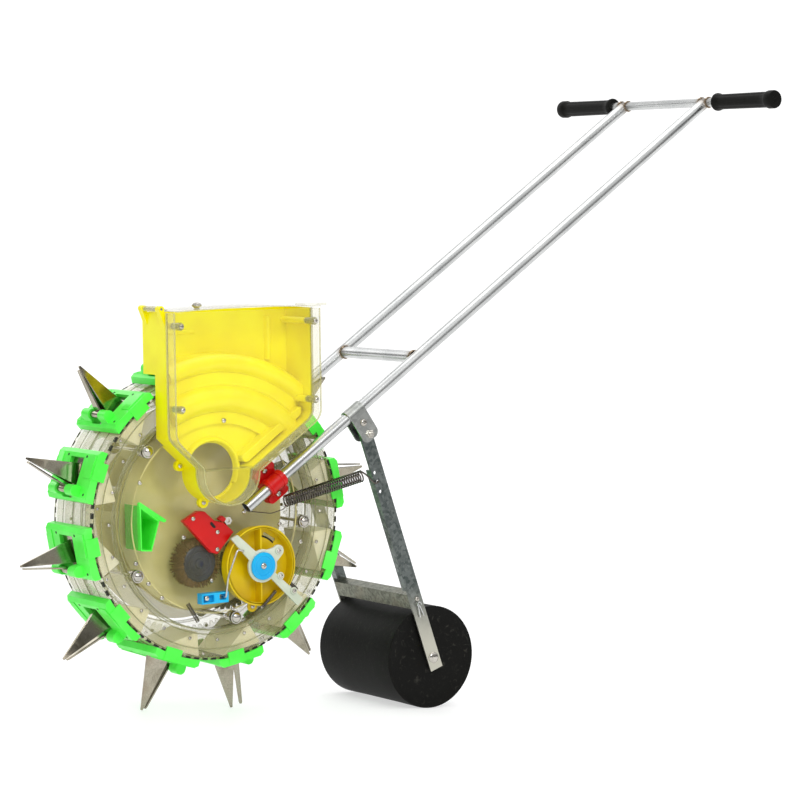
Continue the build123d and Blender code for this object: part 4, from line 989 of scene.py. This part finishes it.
# %% Tubes, bars and grips
FOOT = np.array([40.8, 14.7])
ALONG = np.array([cos(slope), sin(slope)])
LENGTH = 1177.0
TUBE_Y = 113.0


def up_handle(distance, y, off=0.0):
    """The side-view point this far up the handle, at this y, and off its axis."""
    p = FOOT + ALONG * distance + np.array([-ALONG[1], ALONG[0]]) * off
    return np.array([p[0], y, p[1]])


def pipe(start, end, outer, inner, sides=40):
    """A straight tube with an open end: outer wall, then inner wall, joined at both ends."""
    start, end = np.asarray(start, float), np.asarray(end, float)
    axis = (end - start) / np.linalg.norm(end - start)
    side = np.cross(axis, (0, 1, 0) if abs(axis[1]) < 0.9 else (1, 0, 0))
    side /= np.linalg.norm(side)
    other = np.cross(axis, side)
    turn = np.linspace(0, 2 * pi, sides, endpoint=False)[:, None, None]
    lip = 0.35
    stations = [(start, outer - lip), (start + axis * lip, outer), (end, outer), (end, inner),
                (start + axis * lip, inner), (start, inner + lip)]
    spots = np.array([spot for spot, _ in stations])
    radii = np.array([radius for _, radius in stations])[None, :, None]
    grid = spots[None] + radii * (np.cos(turn) * side + np.sin(turn) * other)
    return grid.reshape(-1, 3), quads(sides, len(stations), True, True)


for name, y in (("near_tube", -TUBE_Y), ("far_tube", TUBE_Y)):
    tube = pipe(up_handle(0, y), up_handle(LENGTH - 6.5, y), 10.0, 8.5)
    make(f"{name}_look", tube, zinc, nodes=(name,))
bars = stack(pipe(up_handle(410, -104.5), up_handle(410, 104.5), 10.0, 8.5),
             pipe(up_handle(LENGTH, -290), up_handle(LENGTH, 290), 8.0, 6.5))
make("bars_look", bars, zinc, nodes=("cross_bars",))


def weld(distance, y, radius, reach):
    """A thin bead of weld where a bar meets a tube: a wavy ring round the bar."""
    turn = np.linspace(0, 2 * pi, 48, endpoint=False)
    centre = up_handle(distance, y)
    ripple = radius + 0.9 + 0.35 * np.sin(11 * turn)
    x, z = centre[0] + ripple * np.cos(turn), centre[2] + ripple * np.sin(turn)
    path = np.column_stack([x, centre[1] + reach * np.cos(2 * turn), z])
    return carried(path, circle(1.5, 8), (0, 1, 0), closed=True)


weld_steel = metal("weld bead", (168, 150, 128), (96, 82, 66), 0.35, spangle=2.0, tarnish=0.4)
welds = [weld(410, s * 103.5, 9.6, 1.0) for s in (1, -1)]
welds += [weld(LENGTH, s * (TUBE_Y + o), 7.8, 1.2) for s in (1, -1) for o in (-9.5, 9.5)]
make("weld_beads", stack(*welds), weld_steel)

GRIP_IN, GRIP_OUT = 145.0, 299.0
grip_centre = up_handle(LENGTH, 0)[[0, 2]]
grip_profile = np.array([
    (8.1, GRIP_IN), (13.6, GRIP_IN), (15.6, GRIP_IN + 1.4), (16.0, GRIP_IN + 4), (15.4, GRIP_IN + 7),
    (14.0, GRIP_IN + 12), (13.7, GRIP_IN + 20), (13.9, GRIP_IN + 70), (14.2, GRIP_OUT - 30),
    (14.0, GRIP_OUT - 19), (15.3, GRIP_OUT - 16.5), (16.0, GRIP_OUT - 14), (16.0, GRIP_OUT - 3),
    (15.2, GRIP_OUT - 0.8), (13.2, GRIP_OUT), (6.5, GRIP_OUT), (5.2, GRIP_OUT - 1.6), (0, GRIP_OUT - 1.8),
    (0, GRIP_OUT - 9), (8.1, GRIP_OUT - 9),
])
grip_turn = np.linspace(0, 2 * pi, 96, endpoint=False)[:, None]
along_grip = grip_profile[:, 1]
on_barrel = (along_grip > GRIP_IN + 10) & (along_grip < GRIP_OUT - 17) & (grip_profile[:, 0] > 10)
flute = 1 - 0.045 * on_barrel * (0.5 + 0.5 * np.cos(8 * grip_turn)) ** 3
grip_radius = grip_profile[:, 0] * flute
for name, side in (("near_grip", -1), ("far_grip", 1)):
    grid = np.stack([
        grip_centre[0] + grip_radius * np.cos(grip_turn),
        np.broadcast_to(side * grip_profile[:, 1], grip_radius.shape),
        grip_centre[1] + grip_radius * np.sin(grip_turn),
    ], -1)
    grip = (grid.reshape(-1, 3), quads(96, len(grip_profile), True, True))
    make(f"{name}_look", grip, grip_rubber, nodes=(name,), sharp=40)

# %% [markdown]
# ## Tube clamps
#
# A red moulding clamps each tube to a side plate: a plate with a round saddle over the tube and a boss at
# each corner for a screw. The corner bosses give its scalloped outline.

# %% Clamps
softened("tube_clamps", 1.8, red, name="clamps_look")
clamp_parts, clamp_heads = [], []
for side in (-1, 1):
    face = side * 103.0
    for along, off in ((52, 24), (80, 24), (52, -24), (80, -24)):
        spot = up_handle(along, 0, off)
        boss = [(0, side * 88), (7.4, side * 88), (7.4, side * 103.6), (6.6, side * 104.4), (0, side * 104.4)]
        clamp_parts.append(spun(boss, (spot[0], spot[2]), 28))
    for off in (23, -23):
        spot = up_handle(66, 0, off)
        clamp_heads.append(screw(spot[0], spot[2], face, 4.8, 3.6, side))
for side in (-1, 1):
    band = [(10.05, -3.5), (14.9, -3.5), (15.6, -2.6), (15.6, 2.6), (14.9, 3.5), (10.05, 3.5)]
    turn = np.linspace(0, 2 * pi, 40, endpoint=False)
    for along in (54, 78):
        centre = up_handle(along, side * TUBE_Y)
        across_dir = np.array([-ALONG[1], 0, ALONG[0]])
        along_dir = np.array([ALONG[0], 0, ALONG[1]])
        loop = np.array(band)
        grid = (centre + loop[None, :, :1] * (np.cos(turn)[:, None, None] * across_dir
                + np.sin(turn)[:, None, None] * np.array([0, 1.0, 0])) + loop[None, :, 1:] * along_dir)
        clamp_parts.append((grid.reshape(-1, 3), quads(40, len(band), True, True)))
make("clamp_bosses", stack(*clamp_parts), red, bevel=0.6)
make("clamp_heads", stack(*clamp_heads), screw_steel, nodes=("clamp_bolts",))

# %% [markdown]
# ## Straps, arms and press wheel
#
# A strip folded over each tube carries a bolt that the arm swings on. The arms are galvanised angle with a
# row of holes for the spring. The press wheel is turned rubber with softly rounded shoulders and a shallow
# dish in each end.

# %% Straps, arms, scraper and pins
softened("tube_straps", 0.6, strap_zinc, name="straps_look")
softened("near_arm", 0.5, galvanised, "press_frame", name="near_arm_look")
softened("far_arm", 0.5, galvanised, "press_frame", name="far_arm_look")
softened("scraper_bar", 0.5, bar_dark, "press_frame", name="scraper_look")

PIVOT = side_view(joint_at["press_frame_pivot"])
AXLE = side_view(joint_at["press_roller_spin"])
arm_dir = (AXLE - PIVOT)[[0, 2]] / np.linalg.norm((AXLE - PIVOT)[[0, 2]])
arm_side = np.array([-arm_dir[1], arm_dir[0]])


def on_arm(along, off, y):
    """The side-view point this far down an arm from its pivot, off its middle line."""
    p = PIVOT[[0, 2]] + arm_dir * along + arm_side * off
    return np.array([p[0], y, p[1]])


bolts, axle_ends = [], []
for side in (-1, 1):
    out = side * 125.6
    upper, lower = up_handle(254.5, 0, -19)[[0, 2]], PIVOT[[0, 2]]
    bolts += [screw(*upper, out, 6.2, 3.4, side), rod(upper, 3.9, side * 100.4, out)]
    hex_head = [(0, out), (7.2, out), (7.2, out + side * 3), (6.2, out + side * 4), (0, out + side * 4)]
    thread = [(0, out), (3.9, out), (3.9, out + side * 5.6), (2.8, out + side * 6.8), (0, out + side * 6.8)]
    bolts += [spun(hex_head, lower, 6), spun(thread, lower, 20)]
    bolts += [rod(lower, 6.6, side * 97.6, side * 100.4, 6), rod(lower, 3.9, side * 99, out)]
    end = [(0, 111), (9.0, 113.1), (9.4, 114), (8.6, 115.2), (6, 116.4), (0, 117.2)]
    end = [(radius, side * y) for radius, y in end]
    axle_ends.append(spun(end, AXLE[[0, 2]], 32))
make("strap_bolts_look", stack(*bolts), screw_steel, nodes=("strap_bolts",))
axle_rod = rod(AXLE[[0, 2]], 5.98, -112, 112, 28)
make("axle_look", stack(axle_rod, *axle_ends), screw_steel, "press_frame", nodes=("press_axle",))

pins = []
for side in (-1, 1):
    eye = side * 113.6
    loop_turn = np.linspace(-0.2, 2 * pi - 0.9, 26)
    centre = on_arm(311, 1, side * 117.5)
    x, z = centre[0] + 4 * np.cos(loop_turn), centre[2] + 4 * np.sin(loop_turn)
    pins.append(carried(np.column_stack([x, np.full(26, centre[1]), z]), circle(1.1, 8), (0, 1, 0)))
    for off in (-3.5, 4.5):
        neck, foot = on_arm(316, off * 0.4, side * 116.5), on_arm(333, off, side * 115.5)
        leg = [on_arm(311, off * 0.2, eye), neck, foot]
        pins.append(wire(leg, 1.1, 3, (0.2, 1, 0.1)))
make("pins_look", stack(*pins), zinc, "press_frame", nodes=("split_pins",))
head_place = on_arm(302, 2, 0)[[0, 2]]
arm_heads = [screw(*head_place, side * 113, 4.2, 2.6, side) for side in (-1, 1)]
make("arm_heads", stack(*arm_heads), screw_steel, "press_frame")

# %% Press wheel
HALF = 106.0
low_corner, high_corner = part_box("press_roller")
R = (high_corner.z - low_corner.z) / 2 / MM
shoulder = [(R - 2.2 * (1 - cos(t)), HALF - 2.2 * (1 - sin(t))) for t in np.linspace(0, pi / 2, 6)]
end_face = [
    (R - 5, HALF - 0.2), (R - 7, HALF - 1.0), (60, HALF - 1.6), (30, HALF - 2.4), (14, HALF - 1.2),
    (6.2, HALF - 1.2),
]
belly = [(R - 0.5, y) for y in (-50, 0, 50)]
right_half = shoulder + end_face
left_half = [(r, -y) for r, y in reversed(right_half)]
make(
    "press_wheel_look", spun(left_half + belly + right_half, AXLE[[0, 2]], 160), wheel_rubber,
    "press_wheel", nodes=("press_roller",), sharp=28,
)

# %% [markdown]
# ## Tension springs
#
# A long close-wound spring pulls each arm towards the foot of its tube, through a hook at the arm and a
# bent wire at the tube. The spring and its hook ride on no body and stay where they are drawn.

# %% Tension springs
near_hook = on_arm(84.5, -5, 0)
for side, label in ((-1, "near"), (1, "far")):
    y = side * 119.0
    start, end = np.array([111, y, 21]), np.array([262, y, 52])
    body = coil(start, end, 8.9, 1.35, 33)
    hook_end = np.array([near_hook[0], side * 111.5, near_hook[2]])
    axis = (end - start) / np.linalg.norm(end - start)
    hook_path = [end + (-2, 0, 8), end + axis * 9, hook_end + (-9, side * 7.5, -3),
                 hook_end + (0, side * 7, 1), hook_end]
    hook = wire(hook_path, 1.5, 5, (0.1, 1, 0.3))
    lead_path = [start + (2, 0, -8), start + (-3, 0, -13), up_handle(30, y, -34), up_handle(-4, y, -3),
                 up_handle(6, side * 113, 4)]
    lead = wire(lead_path, 0.8, 4, (0.1, 1, 0.2))
    spring = make(
        f"{label}_spring_look", stack(body, hook), spring_steel,
        nodes=("arm_springs",) if side < 0 else (),
    )
    make(f"{label}_spring_wire", lead, spring_steel)
    spring.parent = None
    spring.matrix_world = Matrix.Identity(4)
    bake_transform(spring)

# %% [markdown]
# ## Stage, light and camera
#
# A pale floor curves up behind the machine, so there is no horizon. Light is broad and soft, as in a
# catalogue studio: a bright surround, one large panel above the camera's right shoulder, a wide one
# overhead, a low fill from the left and a weak one behind. The camera is a long lens from the seed box
# side.

# %% Floor and backdrop
sweep_turn = np.linspace(0, pi / 2, 16)
bend = 2.5
curve = np.column_stack([9.0 + bend * np.sin(sweep_turn), bend * (1 - np.cos(sweep_turn))])
backdrop_line = np.vstack([[(-14.0, 0.0)], [(9.0, 0.0)], curve, [(11.5, 12.0)]])
VIEW_YAW = radians(34.73)
away, aside = np.array([sin(VIEW_YAW), cos(VIEW_YAW)]), np.array([cos(VIEW_YAW), -sin(VIEW_YAW)])
floor_points = np.array([
    (*(away * d + aside * s), h) for s in (-16.0, 16.0) for d, h in backdrop_line
])
floor_mesh = bpy.data.meshes.new("floor")
floor_mesh.from_pydata(floor_points.tolist(), [], quads(2, len(backdrop_line), False, False))
floor_mesh.shade_smooth()
floor = bpy.data.objects.new("floor", floor_mesh)
bpy.context.scene.collection.objects.link(floor)
pale = Finish("pale floor", Roughness=0.6)
near_machine = pale.near((0, 0, 0), 5000)
floor_mesh.materials.append(pale.set(
    Base_Color=pale.mix(pale.noise(300), paint(176, 176, 176), paint(180, 180, 180)),
    Emission_Color=pale.mix(near_machine, paint(226, 226, 226), paint(200, 200, 200)),
))
pale.shader.inputs["Emission Strength"].default_value = 1.0

# %% Light
world = bpy.data.worlds.new("studio")
bpy.context.scene.world = world
world.use_nodes = True
sky = world.node_tree
direction = sky.nodes.new("ShaderNodeTexCoord")
split = sky.nodes.new("ShaderNodeSeparateXYZ")
rise = sky.nodes.new("ShaderNodeMapRange")
rise.interpolation_type = "SMOOTHSTEP"
rise.inputs["From Min"].default_value, rise.inputs["From Max"].default_value = 0.1, 0.6
rise.inputs["To Min"].default_value, rise.inputs["To Max"].default_value = 0.2, 0.85
sky.links.new(direction.outputs["Generated"], split.inputs[0])
sky.links.new(split.outputs["Z"], rise.inputs["Value"])
sky.links.new(rise.outputs[0], sky.nodes["Background"].inputs["Strength"])
sky.nodes["Background"].inputs["Color"].default_value = (1, 1, 1, 1)


def panel(name, place, target, size, power):
    """A rectangular soft light at place, facing target."""
    data = bpy.data.lights.new(name, "AREA")
    data.shape, data.size, data.size_y, data.energy = "RECTANGLE", *size, power
    lamp = bpy.data.objects.new(name, data)
    bpy.context.scene.collection.objects.link(lamp)
    lamp.location = place
    lamp.rotation_euler = (Vector(target) - Vector(place)).to_track_quat("-Z", "Y").to_euler()


middle = (0.0, 0.0, 0.45)
panel("key", (-1.3, -3.6, 2.7), middle, (1.5, 1.5), 70)
panel("top", (0.4, 0.2, 3.4), middle, (2.4, 2.4), 26)
panel("fill", (-3.0, -1.2, 1.0), middle, (1.0, 1.6), 7)
panel("rim", (-0.5, 3.2, 1.8), middle, (2.6, 1.4), 12)

# %% Camera
scene = bpy.context.scene
scene.view_settings.view_transform = "Standard"
yaw, pitch, roll = VIEW_YAW, radians(4.18), radians(-0.77)
forward = np.array([sin(yaw) * cos(pitch), cos(yaw) * cos(pitch), -sin(pitch)])
right = np.array([cos(yaw), -sin(yaw), 0])
up = np.cross(right, forward)
right, up = cos(roll) * right + sin(roll) * up, -sin(roll) * right + cos(roll) * up
lean_matrix = np.array([[cos(LEAN), 0, -sin(LEAN)], [0, 1, 0], [sin(LEAN), 0, cos(LEAN)]])
axes = lean_matrix @ np.column_stack([right, up, -forward])
eye = placed([(-2385.1, -4051.9, 523.5)], LEAN)[0]
lens = bpy.data.cameras.new("camera")
lens.sensor_width, lens.lens = 36.0, 129.6
lens.clip_end = 60
camera = bpy.data.objects.new("camera", lens)
scene.collection.objects.link(camera)
camera.matrix_world = Matrix.Translation(eye) @ Matrix(axes.tolist()).to_4x4()
scene.camera = camera
print("camera at", eye)
